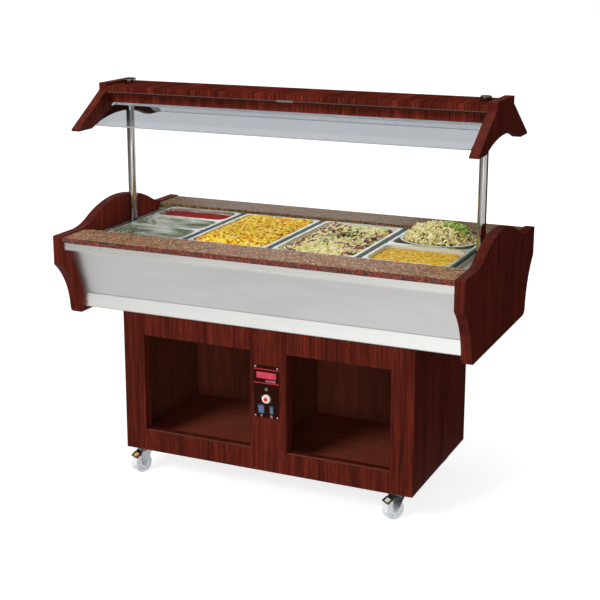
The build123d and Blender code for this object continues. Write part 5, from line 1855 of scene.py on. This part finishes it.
@dataclass
class Studio(SubAssembly):
    """Pale floor, white surroundings, soft lamps, cards and the camera."""

    camera_at: tuple[float, float, float] = (1.983, -4.454, 2.048)
    yaw: float = 25.22
    pitch: float = 13.99
    roll: float = -0.23
    focal_pixels: float = 1317.0
    principal: tuple[float, float] = (269.0, 262.0)
    frame_pixels: int = 600
    sensor_mm: float = 36.0
    far: float = 100.0
    ambient: float = 0.36
    wall_glow: float = 0.18
    ceiling_from: tuple[float, float] = (0.25, 0.7)
    floor_half: float = 30.0
    floor_grey: float = 0.45
    floor_seen: tuple[float, float] = (0.8, 1.0)
    floor_fade: tuple[float, float] = (1.2, 4.0)
    floor_glow: float = 0.79
    floor_slope: tuple[float, float, float] = (0.13, 0.083, 0.0)
    lamps: tuple[SoftLamp, ...] = (
        SoftLamp("key", (-2.84, -6.08, 5.16), (0, 0, 0.8), (2.6, 2.6), 320.0),
        SoftLamp("fill", (3.0, -7.2, 0.95), (0, 0, 0.6), (4.0, 1.8), 215.0),
        SoftLamp("top", (0.2, -0.3, 6.0), (0, 0, 0.9), (3.2, 3.2), 95.0, glossy=True))
    cards: tuple[Card, ...] = (
        Card("right_wall_card", (0.6, 0.6, 0.0), (3.2, 0.62, 2.2)),
        Card("right_floor_card", (0.62, -0.4, 0.001), (3.0, 0.6, 0.003)),
        Card("back_light_card", (-2.1, 3.0, 1.1), (-0.55, 3.02, 2.1), glow=1.1),
        Card("front_light_card", (-2.7, -3.4, 1.25), (0.4, -3.38, 2.7), glow=0.9),
        *(Card(f"band_card_{i}", (-0.16, -3.2, 0.0), (0.16, -3.18, 2.4), turn)
          for i, turn in enumerate((-75.0, -48.0, 40.0, 62.0, 90.0, 118.0))))

    def camera(self) -> None:
        """Add the camera at the photograph's viewing angle."""
        data = bpy.data.cameras.new("camera")
        data.sensor_width = self.sensor_mm
        data.lens = self.focal_pixels * data.sensor_width / self.frame_pixels
        middle = (self.frame_pixels - 1) / 2
        data.shift_x = (middle - self.principal[0]) / self.frame_pixels
        data.shift_y = (self.principal[1] - middle) / self.frame_pixels
        data.clip_end = self.far
        camera = bpy.data.objects.new("camera", data)
        camera.location = self.camera_at
        camera.rotation_euler = (
            Matrix.Rotation(math.radians(self.yaw), 3, "Z")
            @ Matrix.Rotation(math.radians(90 - self.pitch), 3, "X")
            @ Matrix.Rotation(math.radians(self.roll), 3, "Z")).to_euler()
        bpy.context.scene.collection.objects.link(camera)
        bpy.context.scene.camera = camera

    def lamp(self, spec: SoftLamp) -> None:
        """Add a soft rectangular lamp.

        Args:
            spec: The lamp's place, aim, size and power.
        """
        data = bpy.data.lights.new(spec.name, "AREA")
        data.shape = "RECTANGLE"
        data.size, data.size_y = spec.size
        data.energy = spec.power
        lamp = bpy.data.objects.new(spec.name, data)
        lamp.location = spec.at
        lamp.rotation_euler = (Vector(spec.aim) - Vector(spec.at)).to_track_quat("-Z", "Y").to_euler()
        lamp.visible_camera = False
        lamp.visible_glossy = spec.glossy
        bpy.context.scene.collection.objects.link(lamp)

    def ray_strength(self, tree: NodeTree, seen: float | Node,
                     mirrored: float | Node, diffuse: float) -> Node:
        """Strength of a light source by the kind of ray that meets it.

        Args:
            tree: The node tree.
            seen: Strength for the camera and through glass, or the node that gives it.
            mirrored: Strength in reflections, or the node that gives it.
            diffuse: Strength for all other rays.

        Returns:
            The node that gives the strength.
        """
        path = add_node(tree, "ShaderNodeLightPath")
        direct = add_node(tree, "ShaderNodeMath", {
            0: (path, "Is Camera Ray"), 1: (path, "Is Transmission Ray")}, operation="MAXIMUM")
        shown, gloss = ((value, 0) if isinstance(value, Node) else value
                        for value in (seen, mirrored))
        soft = add_node(tree, "ShaderNodeMix", {0: (path, "Is Glossy Ray"), 2: diffuse, 3: gloss},
                        data_type="FLOAT")
        return add_node(tree, "ShaderNodeMix", {0: (direct, 0), 2: (soft, 0), 3: shown}, data_type="FLOAT")

    def world(self) -> None:
        """Surround the scene with white for the camera, a bright ceiling in reflections and soft light."""
        world = bpy.data.worlds.new("soft_white_room")
        bpy.context.scene.world = world
        world.use_nodes = True
        tree = world.node_tree
        tree.nodes.clear()
        place_in_room = add_node(tree, "ShaderNodeTexCoord")
        height = add_node(tree, "ShaderNodeSeparateXYZ", {0: (place_in_room, "Generated")})
        room = add_node(tree, "ShaderNodeMapRange", {
            "Value": (height, 2), "From Min": self.ceiling_from[0], "From Max": self.ceiling_from[1],
            "To Min": self.wall_glow, "To Max": 1.0})
        strength = self.ray_strength(tree, 1.0, room, self.ambient)
        white = add_node(tree, "ShaderNodeBackground", {"Color": WHITE, "Strength": (strength, 0)})
        add_node(tree, "ShaderNodeOutputWorld", {"Surface": (white, 0)})

    def floor(self) -> None:
        """Lay the pale floor, which keeps the buffet's shadow and gleams more toward the back right."""
        deselect()
        bpy.ops.mesh.primitive_plane_add(size=2 * self.floor_half)
        floor = bpy.context.object
        floor.name = "pale_floor"
        material, tree = bare_material("pale_studio_floor")
        lit = add_node(tree, "ShaderNodeBsdfDiffuse", {"Color": (*(self.floor_grey,) * 3, 1)})
        spot = add_node(tree, "ShaderNodeTexCoord")
        away = add_node(tree, "ShaderNodeVectorMath", {0: (spot, "Object")}, operation="LENGTH")
        brighter = add_node(tree, "ShaderNodeMapRange", {
            "Value": (away, 1), "From Min": self.floor_fade[0], "From Max": self.floor_fade[1],
            "To Min": self.floor_seen[0], "To Max": self.floor_seen[1]})
        across = add_node(tree, "ShaderNodeVectorMath", {0: (spot, "Object"), 1: self.floor_slope},
                          operation="DOT_PRODUCT")
        mirrored = add_node(tree, "ShaderNodeMath", {0: (across, 1), 1: self.floor_glow}, operation="ADD",
                            use_clamp=True)
        strength = self.ray_strength(tree, brighter, mirrored, 0.0)
        glow = add_node(tree, "ShaderNodeEmission", {"Color": WHITE, "Strength": (strength, 0)})
        both = add_node(tree, "ShaderNodeAddShader", {0: (lit, 0), 1: (glow, 0)})
        add_node(tree, "ShaderNodeOutputMaterial", {"Surface": (both, 0)})
        dress(floor, material)

    def card(self, spec: Card) -> None:
        """Stand a card that shows in reflections alone.

        Args:
            spec: The card's corners, turn and glow.
        """
        card = block(spec.name, spec.low, spec.high, 0.0)
        card.rotation_euler = (0, 0, math.radians(spec.turn))
        settle(card)
        material, tree = bare_material(f"{spec.name}_paper")
        paper = add_node(tree, "ShaderNodeEmission", {"Color": WHITE, "Strength": spec.glow})
        add_node(tree, "ShaderNodeOutputMaterial", {"Surface": (paper, 0)})
        dress(card, material)
        card.visible_camera = card.visible_diffuse = False
        card.visible_transmission = card.visible_shadow = False

    def build(self) -> None:
        """Set up the view, the surroundings, the lamps and the cards."""
        self.camera()
        self.world()
        self.floor()
        for lamp in self.lamps:
            self.lamp(lamp)
        for card in self.cards:
            self.card(card)
        bpy.context.scene.view_settings.view_transform = "Standard"


def report(assembly: SubAssembly) -> None:
    """Build one sub-assembly and log the pieces that it added.

    Args:
        assembly: The sub-assembly.
    """
    before = set(bpy.data.objects)
    assembly.build()
    for piece in sorted(set(bpy.data.objects) - before, key=lambda made: made.name):
        if piece.type == "MESH":
            LOG.info("%s: %s, %d faces", type(assembly).__name__, piece.name, len(piece.data.polygons))


def main() -> None:
    """Build the whole scene in order."""
    logging.basicConfig(level=logging.INFO, format="%(message)s")
    for assembly in (Studio(), BaseCabinet(), ControlPanel(), CounterBody(), WellAndPans(), Foods(), Canopy(),
                     Casters()):
        report(assembly)
    deselect()


if __name__ == "__main__":
    main()
